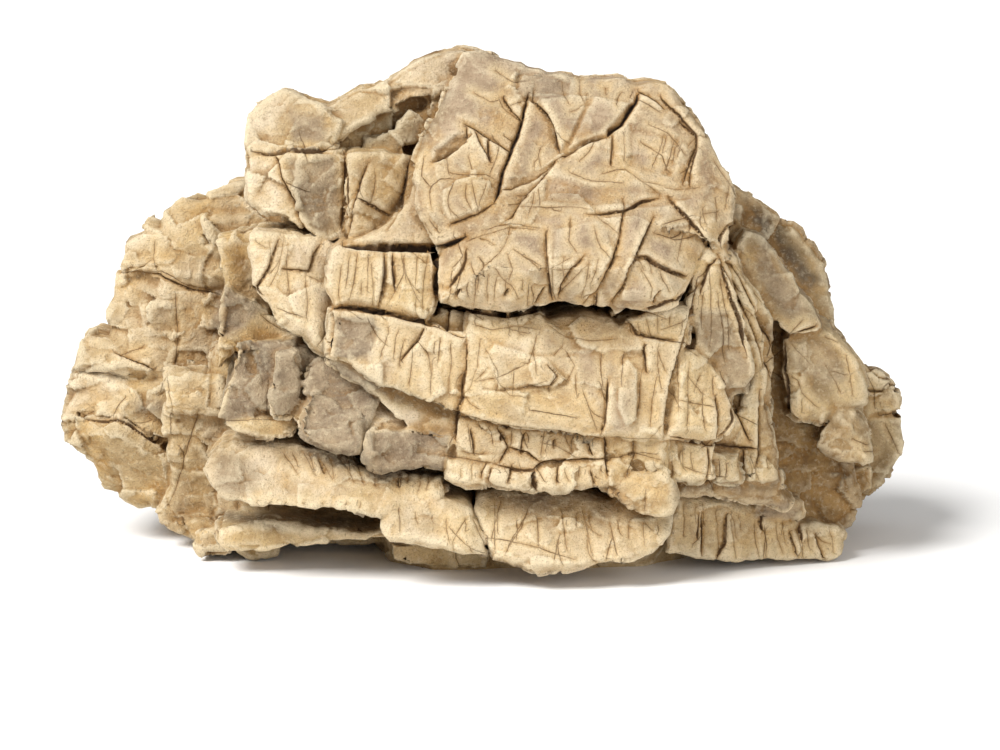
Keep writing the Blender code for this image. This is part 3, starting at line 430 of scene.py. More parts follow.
# Cracks of the front, as seen from it
CRACKS = [
    # boss
    (WIDE, [(12.8, 130), (11.8, 126), (9.5, 117), (7.8, 113), (6, 107), (4.5, 102), (3, 98.5)]),
    (MEDIUM, [(3, 98.5), (-2, 95.5), (-10, 92)]),
    (MEDIUM, [(14.5, 131), (14, 128), (17.5, 124), (19.5, 120), (20.5, 115), (21.5, 112.5)]),
    (WIDE, [(43, 130), (42.5, 127), (39, 121), (36, 119), (34.5, 117)]),
    (MEDIUM, [(34.5, 117), (28, 115), (24.5, 112.5), (21.5, 111.5)]),
    (MEDIUM, [(21.5, 111.5), (17, 107.5), (14, 105.5), (8, 102.5), (5, 102.5)]),
    (MEDIUM, [(21, 111), (16, 105), (13, 102), (11, 99.5), (8, 94.5), (6, 93.5)]),
    (MEDIUM, [(30, 130), (28.5, 127.5), (27, 123), (24.5, 116), (22.5, 113)]),
    (FINE, [(27, 133), (27.3, 129.5), (28.3, 127)]),
    (FINE, [(22, 133), (23, 129), (24.5, 126)]),
    (FINE, [(4, 128.5), (6, 125), (10.5, 122)]),
    (MEDIUM, [(-6, 121), (-3, 119.5), (1, 117), (5, 115), (7.5, 113.5)]),
    (MEDIUM, [(1, 117), (1, 114), (2, 110)]),
    (FINE, [(5.5, 118), (8.5, 116.5)]),
    (MEDIUM, [(-14.5, 110.5), (-11, 111.5), (-8, 113.5), (-3.5, 118)]),
    (FINE, [(-10.5, 112), (-10, 107.5), (-3, 106.5), (1, 106.5), (4, 105)]),
    (FINE, [(-4.5, 112), (-3, 107.5)]),
    (FINE, [(4.5, 115), (3, 109), (2, 106.5)]),
    (FINE, [(-5, 104), (-5, 100), (-3, 96)]),
    (FINE, [(1, 104.5), (0, 101), (-2, 95.5)]),
    (FINE, [(-8, 106), (-12, 105.5), (-15.5, 103), (-15, 97)]),
    (FINE, [(15.5, 103), (16, 97.5)]),
    (FINE, [(10, 97.5), (18, 97.5), (25, 98), (32, 96.5)]),
    (MEDIUM, [(29, 95.5), (39.5, 96.5), (45, 99), (50, 100)]),
    (MEDIUM, [(39, 99.8), (39.8, 96.5), (38.5, 89), (37, 84), (35, 79), (32, 73.5), (28, 69.5)]),
    (MEDIUM, [(48, 95), (46, 90), (43.5, 85), (41, 79), (38.5, 73), (36, 70)]),
    (FINE, [(32, 95), (36, 92), (38.5, 89.5)]),
    (MEDIUM, [(36, 118), (35.8, 113), (35.5, 109)]),
    (FINE, [(39.3, 118), (40, 110)]),
    (FINE, [(16.5, 115), (15.5, 112), (16, 108.5)]),
    (FINE, [(33, 107), (40, 108.5), (44, 105.5), (50, 100.5)]),
    (MEDIUM, [(43, 130.5), (46, 129), (51, 125)]),
    (FINE, [(43, 128), (50, 124)]),
    (MEDIUM, [(55, 122), (60, 118), (60, 115), (56.5, 106), (55.8, 103.5)]),
    (MEDIUM, [(60, 114.5), (58, 107), (58, 103)]),
    (FINE, [(51, 103), (55, 102.5), (61, 103)]),
    (MEDIUM, [(52, 100.5), (57.5, 94.5), (60, 92), (65, 85)]),
    (FINE, [(62, 95.5), (67, 96)]),
    (FINE, [(59.5, 95), (57, 94.5), (50, 92)]),
    (FINE, [(56.5, 90), (55.5, 85), (54.5, 81)]),
    (MEDIUM, [(71, 93), (69, 91), (67.5, 89), (67, 86)]),
    (MEDIUM, [(42, 83.5), (46, 83.5), (50, 81), (58, 77)]),
    (MEDIUM, [(17.5, 91), (17.5, 86), (18.5, 78), (19.5, 70)]),
    (MEDIUM, [(29, 84), (25, 80), (22, 75), (21, 71)]),
    (FINE, [(21, 79.5), (25, 79.8)]),
    (FINE, [(0, 80.5), (4, 84), (6.5, 87), (7.5, 93)]),
    (FINE, [(0, 91), (4, 92.5), (10, 92.5), (16, 91.5)]),
    (FINE, [(9, 84.5), (16, 80.5)]),
    (FINE, [(3, 80), (5, 77), (8, 75), (10, 71)]),
    (MEDIUM, [(-5, 86), (-6.5, 80), (-10, 74.5)]),
    (FINE, [(-4.5, 82), (-2.5, 77), (-3, 69)]),
    (FINE, [(-1.5, 83), (0, 80.5), (-2, 78)]),
    (FINE, [(12.5, 76), (13, 68)]),
    (WIDE, [(-13.3, 86), (-13, 78), (-13, 70)]),
    (WIDE, [(-40, 86.8), (-28, 86.3), (-13, 86), (-5, 89)]),
    (MEDIUM, [(-19.3, 94.5), (-14.8, 103.6), (-9.1, 105.9), (-3.4, 105.4), (1.2, 105.9), (4, 104.8),
              (3.5, 99)]),
    (FINE, [(-8.5, 105.4), (-10.2, 99.1), (-9.1, 94.5)]),
    (FINE, [(-3.4, 104.8), (-1.1, 95.7)]),
    (FINE, [(1.2, 105.4), (1.8, 99.1)]),
    (MEDIUM, [(-14.8, 109.9), (-5.1, 115.6), (-5.1, 120.7)]),
    (FINE, [(-10.8, 111.6), (-9.7, 106.5)]),
    (MEDIUM, [(-2.8, 119), (-1.1, 115), (2.3, 109.9)]),
    (FINE, [(1.2, 117.9), (8, 113.3)]),
    (MEDIUM, [(5.2, 128.7), (8, 124.7), (10.9, 121.9)]),
    (MEDIUM, [(22.3, 111.6), (17.1, 104.8), (12.6, 100.2), (8, 95.7), (1.2, 92.2), (-3.4, 88.8)]),
    (FINE, [(6.3, 84.2), (8, 79.7), (6.9, 76.3)]),
    (FINE, [(8, 85.4), (13.7, 81.4), (16, 79.7)]),
    (FINE, [(-5.1, 87.7), (0, 89.9), (6.9, 91.7), (16, 91.1)]),
    (FINE, [(18.9, 79.7), (25.1, 83.1)]),
    (FINE, [(20.6, 71.7), (30.8, 82.5)]),
    (FINE, [(65, 111.6), (71.9, 100.2)]),
    (FINE, [(24, 108), (31, 105), (40, 104)]),
    (FINE, [(44, 116), (50, 112), (52, 107)]),
    (FINE, [(46, 121), (52, 118), (57, 112)]),
    (FINE, [(24.5, 94.5), (24, 88), (27, 84)]),
    (FINE, [(31, 92), (33, 86), (36, 82)]),
    (FINE, [(48, 90), (54, 88), (60, 89)]),
    (FINE, [(44.5, 80), (48, 74), (47, 70)]),
    (FINE, [(50, 79.5), (53, 73)]),
    (FINE, [(-9, 90), (-6, 84), (-9, 80)]),
    (FINE, [(-17, 112), (-17.5, 106), (-15, 103)]),
    (FINE, [(-3, 130), (2, 127), (5, 128)]),
    (FINE, [(3, 136), (8, 133), (13, 133)]),
    (MEDIUM, [(49.1, 128.7), (54.8, 123.6), (60.5, 117.3)]),
    (MEDIUM, [(41.1, 66), (49.1, 68.3), (55.3, 70.6), (61.6, 75.1)]),
    (MEDIUM, [(60.5, 77.4), (58.2, 64.9), (54.8, 53.5), (52.5, 42.1), (51.4, 30)]),
    (MEDIUM, [(66.2, 84.2), (69.6, 76.3), (76.4, 62.6), (82.1, 47.8)]),
    (MEDIUM, [(68.4, 83.1), (73, 76.3), (78.7, 64.9), (82.7, 55.8)]),
    (FINE, [(71.3, 80.8), (79.8, 69.4)]),
    # brown knuckle and the upper left blocks
    (MEDIUM, [(-32.5, 110.5), (-37, 98.5), (-38.7, 88.2)]),
    (MEDIUM, [(-36.4, 100.2), (-31, 98), (-26.2, 95.1)]),
    (MEDIUM, [(-20.5, 111), (-22.8, 98.5), (-27.3, 90.5)]),
    (FINE, [(-31, 109), (-30.6, 103), (-32, 98.4)]),
    (MEDIUM, [(-66, 113), (-61, 112.6), (-56, 113.4), (-42, 113.2)]),
    (MEDIUM, [(-59.2, 113.3), (-57, 106), (-53.4, 99), (-52.4, 92.8)]),
    (MEDIUM, [(-39, 112), (-39.5, 100), (-40, 90)]),
    (FINE, [(-52, 119), (-50.5, 115), (-49.5, 110)]),
    # shoulder
    (MEDIUM, [(-58, 88.5), (-59.5, 85), (-61, 80), (-65, 74.5), (-62.5, 72)]),
    (FINE, [(-56.5, 89), (-58, 80), (-61, 74)]),
    (MEDIUM, [(-46, 87), (-48, 84), (-49.5, 79.5), (-57, 80)]),
    (FINE, [(-50, 78), (-45.5, 76)]),
    (FINE, [(-65, 88), (-61, 85.5)]),
    (FINE, [(-59, 68.5), (-51, 66)]),
    (FINE, [(-63.5, 66.5), (-60.5, 64), (-56.5, 61.5)]),
    (FINE, [(-69.5, 73), (-64, 70)]),
    (WIDE, [(-43.6, 67.5), (-44, 60), (-45, 54.5)]),
    (WIDE, [(-43, 68.8), (-37, 67.8), (-30, 67), (-24, 66), (-16, 64), (-13, 63)]),
    (MEDIUM, [(-13, 63), (-5, 60)]),
    (MEDIUM, [(-12.5, 69.2), (-5, 68.4), (0, 67.6), (7, 66.6), (12, 67.1), (16, 68.2)]),
    (MEDIUM, [(40, 65), (43, 61), (50, 59.2), (57, 58.2), (60, 57)]),
    (FINE, [(18, 64), (22, 61), (30, 58.8), (38, 59.6)]),
    (FINE, [(23, 57), (26, 52), (24, 47)]),
    (MEDIUM, [(18, 52.5), (21, 49), (18.5, 46), (12, 46.2)]),
    (FINE, [(-3.5, 47), (4, 48.5), (12, 52.5)]),
    (FINE, [(12, 39), (19, 38), (27, 36.5)]),
    (FINE, [(-20, 60), (-16, 55), (-15, 49)]),
    (FINE, [(-33, 66), (-31, 61), (-27, 57)]),
    (FINE, [(0, 57.5), (4, 50), (3, 44)]),
    (FINE, [(-3.5, 64), (2, 62), (9, 63.5), (16, 62)]),
    # split block
    (FINE, [(-36, 81), (-38, 69.5)]),
    (FINE, [(-34.5, 76), (-34.7, 72)]),
    (FINE, [(-31, 76), (-31, 70)]),
    (MEDIUM, [(-28, 85), (-28, 78), (-30, 68)]),
    (MEDIUM, [(-25.5, 85), (-26, 80), (-25.5, 73)]),
    (FINE, [(-23, 85), (-22.5, 79), (-25.5, 73), (-28, 68.5)]),
    (FINE, [(-23, 80), (-21, 75), (-18, 70)]),
    # middle bed
    (MEDIUM, [(-5, 59.5), (-5.5, 52), (-6.5, 43), (-8, 38), (-8.5, 30)]),
    (FINE, [(-1, 60), (-2, 52), (-4.5, 44)]),
    (MEDIUM, [(-17, 63), (-19, 59), (-24, 53)]),
    (FINE, [(-14, 59), (-14.5, 55)]),
    (MEDIUM, [(-10, 69), (-10, 62)]),
    (FINE, [(-15, 69), (-17, 63)]),
    (FINE, [(15, 61), (13, 52.5), (10, 53)]),
    (FINE, [(2.5, 51), (3, 48), (8, 42.5)]),
    (FINE, [(8.5, 51), (8, 43)]),
    (FINE, [(9, 45), (14, 46.5), (18, 47.7)]),
    (MEDIUM, [(-10, 44), (0, 43.5), (7, 43), (10, 41.5), (18, 39.5)]),
    (FINE, [(20, 55), (23, 58)]),
    (FINE, [(20, 52), (24, 47)]),
    (MEDIUM, [(45.5, 58.5), (46.5, 50)]),
    (FINE, [(49.5, 58.5), (49.5, 52), (51, 44)]),
    (MEDIUM, [(33.5, 31), (34.5, 35), (35.5, 48)]),
    (FINE, [(28, 45), (30, 39), (32.5, 32)]),
    # rows
    (FINE, [(-11.5, 26), (-6, 24.8), (3, 23.5)]),
    (MEDIUM, [(3, 23.4), (11, 22), (15, 22.4), (17, 23.8), (27, 24.8), (34, 25), (36, 24.6)]),
    (MEDIUM, [(15.1, 22.6), (15, 15.4)]),
    (MEDIUM, [(-8, 37.6), (0, 35.8), (5, 34.6), (16, 33.2), (22, 32.6), (28, 31.2), (34, 30.6)]),
    (MEDIUM, [(34.6, 31), (34.4, 25), (35.5, 20)]),
    (FINE, [(34.8, 31), (42, 30.7), (51.4, 31)]),
    (FINE, [(42.4, 30.6), (43, 26), (42.8, 21.8)]),
    (FINE, [(35, 25.4), (39, 25.4), (43, 26.4), (51.4, 24)]),
    (MEDIUM, [(3.5, 34), (6.8, 28.5), (4, 23.5)]),
    (MEDIUM, [(6.8, 28.5), (13, 26.8), (16.5, 24)]),
    (FINE, [(-6.5, 26.5), (0, 26)]),
    (FINE, [(10.5, 33), (13, 27.5)]),
    (FINE, [(17.5, 33), (16.5, 25)]),
    (FINE, [(16.5, 29.5), (21, 28.5), (27, 25)]),
    (MEDIUM, [(2, 22.5), (1, 18)]),
    (FINE, [(23, 22), (24.5, 18)]),
    # front beds
    (FINE, [(-10, 5), (-4, -1), (-3, -3)]),
    (FINE, [(-4.5, 8), (-7.5, 3), (-9, 0)]),
    (FINE, [(-3, 8), (0, 1), (1, -3)]),
    (FINE, [(13, 9.5), (10, 4.5), (6, -3)]),
    (FINE, [(0, 2), (8, 1), (17, -1.5), (26, -4.5)]),
    (FINE, [(4, 9), (4, 3)]),
    (FINE, [(22, 3), (20, -5)]),
    (FINE, [(29, 8), (30, -2), (31, -5)]),
    (FINE, [(36, 6), (38, -4)]),
    (FINE, [(46, 7), (46.5, -1)]),
    (FINE, [(46, 16), (46, 8)]),
    # right side
    (FINE, [(55, 42), (66, 39.5)]),
    (MEDIUM, [(66, 43), (67, 38), (66.5, 30)]),
    (FINE, [(58, 49), (63, 43)]),
    (FINE, [(62, 49), (60, 44)]),
    (MEDIUM, [(71, 40), (71.5, 36), (67, 30)]),
    (FINE, [(57, 29), (57.5, 21)]),
    (FINE, [(57, 23), (63, 20.5), (70, 19.5)]),
    (FINE, [(76, 26), (79, 18)]),
    (MEDIUM, [(79, 45), (78, 22)]),
    (MEDIUM, [(66, 83), (64, 80), (61.5, 72)]),
    (MEDIUM, [(67, 83), (68, 78), (70, 72), (73, 65), (75, 54)]),
    (FINE, [(46, 66), (47.5, 60)]),
    (FINE, [(49.5, 67), (49.5, 61)]),
    (FINE, [(50, 62), (56, 64), (58, 66)]),
    (FINE, [(87, 58.5), (93, 52.5)]),
    (FINE, [(97, 60), (101, 58.5)]),
    (FINE, [(97, 53), (100, 47), (102, 43)]),
    (FINE, [(103, 55), (105.5, 43)]),
    (FINE, [(87, 49), (90, 47.5), (91, 44), (96, 39.5)]),
    (FINE, [(91, 43), (91, 38)]),
    (FINE, [(105, 31), (110, 29)]),
    (FINE, [(108.5, 27), (112, 27)]),
    (FINE, [(108.5, 51), (111, 45), (111.5, 39)]),
    (FINE, [(112.5, 37.5), (119, 38)]),
    (FINE, [(114.5, 35), (119.5, 25)]),
    # right base
    (MEDIUM, [(62.5, 10), (63, -4)]),
    (MEDIUM, [(70, 9), (69.5, 0), (67, -5)]),
    (FINE, [(71, 7), (72.5, -5)]),
    (FINE, [(81, 5), (80.5, -5)]),
    (FINE, [(86, 4), (87, -1)]),
    (MEDIUM, [(88, 4), (90, -4)]),
    (FINE, [(91, 4), (92, -5)]),
    (MEDIUM, [(95, 3), (98, -5)]),
    # left side
    (MEDIUM, [(-115, 37), (-110, 36.5), (-105, 37), (-101, 35.5), (-98, 33), (-94, 30.5), (-91, 29.5)]),
    (FINE, [(-102.5, 79), (-91, 79), (-88, 77.5), (-84, 75), (-78, 74)]),
    (FINE, [(-75, 36), (-65, 36.5), (-54, 36)]),
    (MEDIUM, [(-103.7, 78.6), (-92.3, 78.4), (-83.2, 74), (-74.1, 72.3)]),
    (FINE, [(-92.9, 88.2), (-93.6, 83), (-92.9, 79.1)]),
    (FINE, [(-87.7, 74), (-87, 63), (-88.3, 51.8)]),
    (MEDIUM, [(-106, 56.3), (-93.4, 50.6)]),
    (FINE, [(-90, 49.5), (-89.2, 40), (-89.5, 31.2)]),
    (FINE, [(-90.6, 10.7), (-86.6, 22.1), (-83.2, 33.5), (-80.9, 39.2)]),
    (FINE, [(-61.5, 48.3), (-62.1, 38.1)]),
    (MEDIUM, [(67.3, 50.6), (71, 41.2), (75.9, 29.8)]),
    (MEDIUM, [(53.1, 30.9), (63.6, 29.2), (78.7, 27.6)]),
    (MEDIUM, [(63.9, 28.7), (64.6, 24), (63.8, 18.4)]),
    (MEDIUM, [(74, 27.8), (74.4, 18.4)]),
    (FINE, [(5.2, 13.6), (1.8, 0.2)]),
    (FINE, [(13.2, 10.7), (11, 5), (7.5, -0.7)]),
    (FINE, [(28.3, 10.7), (31.1, -3.5)]),
    (MEDIUM, [(84.5, 60), (88, 61), (95, 63.5)]),
    (MEDIUM, [(85, 60), (85.5, 50), (87, 38), (90, 35.5), (97, 34.8)]),
]

# Combs of cracks: kind, the first line, the last line, and how many between them
COMBS = [
    (MEDIUM, [(-12, 74), (-12, 69)], [(54, 75), (53, 68)], 5),
    (MEDIUM, [(58, 13), (58, -4)], [(100, 4), (101, -4)], 3),
    (MEDIUM, [(-58, 28), (-54, 22)], [(-14, 20), (-16, 15)], 2),
    (MEDIUM, [(-8, 24), (-8, 18.5)], [(35, 24), (36, 16)], 4),
    (MEDIUM, [(-6, 34), (-6, 26)], [(33, 31), (33, 26)], 5),
    (FINE, [(-41, 85), (-41.5, 70)], [(-15, 84), (-16, 67)], 12),
    (FINE, [(-28, 64), (-31, 50)], [(-9, 59), (-10, 41)], 9),
    (FINE, [(-60, 29), (-55, 21)], [(-14, 20), (-16, 14)], 16),
    (FINE, [(-7, 35), (-6, 27)], [(33, 31), (33, 26)], 9),
    (FINE, [(-9, 24), (-8, 18.5)], [(35, 23), (36, 17)], 10),
    (FINE, [(2, 13), (3, -4)], [(51, 6), (50, -1)], 9),
    (FINE, [(56, 12), (57, -4)], [(101, 4), (102, -4)], 14),
    (FINE, [(-27, 11), (-26, 2)], [(-3, 7), (-2, -2)], 5),
    (FINE, [(24, 56), (24, 36)], [(53, 56), (50, 33)], 5),
    (FINE, [(-3, 66), (-3, 61)], [(15, 66), (17, 60)], 5),
    (FINE, [(62, 80), (60, 60)], [(69, 84), (80, 42)], 6),
    (FINE, [(54, 55), (54, 33)], [(68, 48), (69, 33)], 4),
    (FINE, [(53, 28), (53, 20)], [(82, 25), (82, 18)], 11),
    (FINE, [(-64, 88), (-63, 76)], [(-47, 86), (-47, 62)], 3),
    (FINE, [(-10, 80), (-11, 70)], [(14, 76), (14, 69)], 10),
    (FINE, [(18, 84), (20, 70)], [(34, 82), (30, 71)], 5),
    (FINE, [(28, 131), (28, 125)], [(44, 131), (42, 127)], 4),
    (FINE, [(50, 118), (47, 108)], [(57, 116), (54, 106)], 7),
    (FINE, [(58, 96), (60, 88)], [(70, 104), (70, 96)], 4),
    (FINE, [(40, 64), (41, 58)], [(57, 67), (56, 60)], 6),
    (FINE, [(-73, 13), (-72, 10)], [(-33, 12), (-34, 9)], 8),
    (FINE, [(-19, 92), (-16, 88)], [(-2, 104), (2, 96)], 7),
]

# What the face is made of: kind of stone, how strongly, how soft its border is in mm, and its outline as
# seen from the front. Grey is fresh fracture, beige and tan are old skins, and rust is clay and iron, also
# laid on some bed tops under overhangs as painted shade. The shade zones are painted shade: dark where
# overhangs, the niche and gaps shade the face. Broken places are only stepped more.
ZONES = [
    ("beige", 1.0, 3.0, [(-8, 143), (-13, 124), (-19, 116), (-20, 98), (-14, 88), (-12.5, 66), (36, 66),
        (53, 66), (58, 77), (64, 86), (72, 92), (73, 100), (64, 118), (54, 130), (46, 136), (0, 144)]),
    ("beige", 0.7, 2.0, [(18, 62), (20, 48), (34, 32), (51, 32), (57, 57), (44, 60), (30, 58)]),
    ("tan", 1.0, 1.5, [(84, 62), (95, 65), (110, 48), (106, 40), (97, 33), (86, 37)]),
    ("tan", 0.9, 1.2, [(100, 40.5), (112, 33), (113, 23), (96, 25), (94, 29)]),
    ("tan", 0.8, 1.2, [(72, 88), (77, 91), (88, 72), (97, 66), (94, 62), (86, 61), (78, 72)]),
    ("tan", 1.0, 3.0, [(72, 104), (92, 92), (102, 70), (102, 58), (90, 60), (88, 76), (76, 90)]),
    ("tan", 1.0, 2.0, [(104, 60), (122, 44), (123, 24), (112, 10), (107, 38)]),
    ("tan", 0.9, 3.0, [(52, 5), (54, 16), (92, 10), (106, 6), (105, -8), (56, -8)]),
    ("tan", 0.8, 2.0, [(-54, 104), (-44, 112), (-38, 112), (-38, 92), (-44, 88)]),
    ("tan", 0.5, 5.0, [(-124, 36), (-92, 30), (-84, 14), (-104, 8), (-124, 20)]),
    ("grey", 1.0, 0.9, [(-76, 36), (-72, 50), (-70, 58), (-54, 60), (-46, 54), (-50, 46), (-53, 38),
        (-60, 37)]),
    ("grey", 1.0, 0.9, [(-50, 52), (-46, 55), (-40, 53), (-35, 49), (-30, 42), (-33, 36), (-36, 25),
        (-50, 27), (-54, 31)]),
    ("grey", 1.0, 0.7, [(-33, 33), (-28, 33.5), (-20, 33), (-9, 31), (-12, 20), (-30, 20), (-35, 25)]),
    ("grey", 1.0, 0.7, [(-42.5, 66), (-31, 66), (-30, 61), (-32, 55), (-43, 54.5)]),
    ("grey", 0.9, 1.2, [(-77, 76), (-70, 73), (-65, 71), (-63, 68), (-70, 61), (-77, 60)]),
    ("grey", 0.7, 1.5, [(61, 68), (70, 68), (75.5, 54), (76.5, 45), (74, 42), (70, 43), (66, 52),
        (60, 60)]),
    ("grey", 0.7, 1.0, [(9, 136.5), (20, 134.5), (25, 133), (24, 128), (14, 127), (9, 129)]),
    ("grey", 0.8, 2.0, [(-100, 43), (-91, 43), (-91, 38), (-100, 38)]),
    ("grey", 0.7, 1.5, [(-56, 112), (-42, 112), (-40, 92), (-48, 90), (-53, 100)]),
    ("painted_shade", 0.3, 1.5, [(-54, 104), (-44, 104), (-40, 90), (-48, 89), (-53, 98)]),
    ("cream", 0.8, 1.5, [(-68, 112), (-58, 112), (-54, 99), (-60, 94), (-68, 98)]),
    ("grey", 0.8, 1.5, [(-55, 125), (-45, 124), (-44, 115), (-54, 115)]),
    ("cream", 0.5, 3.0, [(-40, 122), (-30, 132), (-14, 139), (0, 142), (0, 131), (-20, 127)]),
    ("grey", 0.7, 1.2, [(79, 90), (84, 78), (92, 68), (86, 66), (76, 80)]),
    ("grey", 0.6, 1.5, [(-76, 27), (-66, 25), (-62, 20), (-70, 13), (-78, 16)]),
    ("grey", 0.9, 0.8, [(78, 12), (90, 12), (90, 7), (78, 8)]),
    ("grey", 0.4, 2.0, [(-26, 12), (-14, 11), (-12, 4), (-26, 3)]),
    ("grey", 0.3, 2.0, [(0, 55), (20, 52), (24, 44), (4, 44)]),
    ("grey", 0.5, 1.5, [(88, 57), (95, 60), (100, 57), (104, 48), (98, 46), (90, 50)]),
    ("rust", 1.0, 2.0, [(80, 66), (87, 62), (88, 38), (96, 30), (112, 22), (112, 12), (104, 4), (84, 12),
        (81, 30)]),
    ("rust", 0.3, 4.0, [(-92, 74), (-74, 76), (-74, 50), (-92, 52)]),
    ("rust", 0.45, 3.0, [(-90, 38), (-74, 38), (-76, 6), (-92, 6)]),
    ("rust", 0.55, 2.0, [(-38, 112), (-20, 112), (-20, 101), (-29, 91), (-38, 90)]),
    ("rust", 0.9, 1.5, [(-71, 84), (-67, 84), (-67, 75), (-71, 75)]),
    ("rust", 0.5, 2.0, [(-56, 86), (-49, 86), (-49, 80), (-56, 80)]),
    ("rust", 0.45, 1.5, [(-3, 68), (16, 68), (42, 66), (42, 57), (18, 60), (-3, 62)]),
    ("rust", 0.35, 2.0, [(34, 31), (52, 31), (52, 20), (34, 20)]),
    ("rust", 0.7, 1.5, [(54, 18), (92, 17), (92, 11), (54, 13)]),
    ("rust", 0.4, 3.0, [(-24, 102), (-20, 98), (-10, 90), (-30, 87)]),
    ("rust", 0.8, 2.0, [(72, 104), (84, 94), (81, 90), (74, 96)]),
    ("rust", 0.45, 5.0, [(-10, 108), (4, 105), (22, 103), (34, 104), (34, 98), (10, 94), (0, 86),
        (-12, 90)]),
    ("rust", 0.4, 4.0, [(52, 126), (66, 112), (72, 96), (64, 92), (56, 104)]),
    ("cream", 1.0, 2.5, [(-66, 90), (-42, 87), (-44, 56), (-56, 62), (-66, 76)]),
    ("cream", 0.8, 3.0, [(-4, 60), (18, 62), (20, 48), (-4, 44)]),
    ("cream", 0.9, 1.0, [(-33, 42), (-9, 37), (-9, 31.5), (-33, 34.5)]),
    ("cream", 0.9, 2.0, [(-20, 106), (-4, 108), (-4, 92), (-30, 86), (-38, 87), (-27, 93), (-20, 100)]),
    ("cream", 0.9, 3.0, [(-40, 53), (-8, 40), (-6, 58), (-28, 64)]),
    ("cream", 0.6, 2.5, [(-80, 24), (-70, 31), (-52, 31), (-40, 24), (-40, 10), (-76, 12)]),
    ("cream", 0.8, 2.5, [(-108, 78), (-90, 92), (-104, 90)]),
    ("cream", 0.3, 5.0, [(-108, 50), (-108, 80), (-96, 94), (-80, 100), (-88, 80), (-90, 52)]),
    ("cream", 0.7, 3.0, [(-122, 38), (-118, 54), (-100, 52), (-104, 40)]),
    ("cream", 0.8, 1.5, [(34, 49), (38, 54), (42, 52), (42, 34), (36, 32)]),
    ("cream", 0.4, 2.0, [(0, 4), (4, 13), (26, 14), (50, 8), (46, -4), (12, -8)]),
    ("rust", 0.35, 3.0, [(4, 8), (20, 13), (46, 8), (50, 0), (24, 0)]),
    # The next two rust zones lie on bed tops under overhangs: partly clay, and partly painted shade that
    # darkens them
    ("rust", 0.75, 2.5, [(-2, 16), (30, 16), (50, 12), (46, 5), (20, 7), (2, 9)]),
    ("rust", 0.6, 2.0, [(-74, 31), (-34, 27), (-12, 21), (-12, 15), (-40, 18), (-60, 25)]),
    ("rust", 0.3, 2.0, [(-8, 36), (34, 31), (34, 24), (-10, 25)]),
    ("rust", 0.35, 1.5, [(100, 40.5), (112, 33), (113, 23), (96, 25), (94, 29)]),
    ("rust", 0.3, 3.0, [(54, 6), (54, 14), (88, 8), (100, 4), (90, -1), (60, 0)]),
    ("cream", 0.7, 2.0, [(-28, 9), (-22, 15), (-8, 12), (-8, 0), (-28, 0)]),
    ("cream", 0.5, 2.0, [(-8, 36), (34, 31), (34, 14), (-10, 16)]),
    ("cream", 0.7, 2.5, [(-68, 132), (-54, 132), (-60, 114), (-68, 112)]),
    ("broken", 1.0, 3.0, [(-124, 30), (-120, 60), (-104, 100), (-60, 106), (-64, 92), (-74, 88), (-74, 60),
        (-76, 50), (-80, 30), (-76, 10), (-74, -8), (-90, -6), (-112, 12)]),
    ("broken", 0.7, 2.0, [(-68, 132), (-40, 132), (-4, 142), (-20, 112), (-38, 112), (-44, 86), (-68, 96)]),
    ("broken", 0.8, 2.0, [(84, 36), (98, 30), (112, 22), (108, 2), (92, 6), (84, 16)]),
    # The shade zones from here on are painted shade: dark where overhangs, the niche and gaps shade the face
    ("painted_shade", 1.0, 1.5, [(72, 95), (77, 91), (83, 83), (91, 73), (95, 76), (86, 88), (78, 98)]),
    ("painted_shade", 0.9, 1.5, [(-76, 10), (-30, 8), (-30, 3), (-60, 4), (-76, 7)]),
    ("painted_shade", 0.6, 1.0, [(-66, 57), (-62, 58), (-61, 51), (-66, 50)]),
    ("painted_shade", 0.6, 1.5, [(-2, 17), (34, 16), (38, 12), (20, 11.5), (4, 13)]),
    ("painted_shade", 0.85, 1.0, [(-54, 31), (-50, 28.5), (-40, 26.8), (-33, 26), (-33, 23), (-40, 22),
        (-50, 24.5)]),
    ("painted_shade", 0.85, 1.0, [(-34, 22.5), (-11, 22), (-10, 18.5), (-34, 18.5)]),
    ("painted_shade", 0.8, 1.0, [(-36, 52), (-28, 46.5), (-20, 43), (-8, 39), (-8, 36), (-20, 39.5), (-28, 43),
        (-35, 47)]),
    ("painted_shade", 0.7, 0.8, [(54, 18.8), (84, 18.6), (84, 16.2), (54, 16.6)]),
    ("painted_shade", 0.55, 1.5, [(-36, 121), (-18, 129), (-8, 130), (-14, 120), (-18, 112), (-34, 114)]),
]

# What the material reads at each place of the skin: kinds of stone, painted shade in sheltered places,
# cracks, dirt with painted shade in hollows, wear, a painted highlight along cracks, and for each field of
# cracks the distance from the nearest line with its side, the same without, and that crack's width
MARKS = ["grey", "rust", "cream", "beige", "tan", "painted_shade", "crack", "halo", "dirt_and_shade", "worn", "rim", "behind"]
MARKS += [f"{name} {field}" for field in range(FIELDS) for name in ("side", "away", "gape")]

# Noises of the material: size in mm, detail, roughness
NOISES = {
    "broad": (24, 3, 0.55),
    "blotch": (7, 5, 0.6),
    "patch": (13, 4, 0.6),
    "grit": (1.1, 5, 0.65),
    "sand": (0.5, 4, 0.7),
    "speck": (0.55, 2, 0.55),
}

# The stone's own colour, where blotches are dark and where they are light
BODY = ("#B39565", "#D3B685")
BLOTCH_RANGE = (0.36, 0.64)

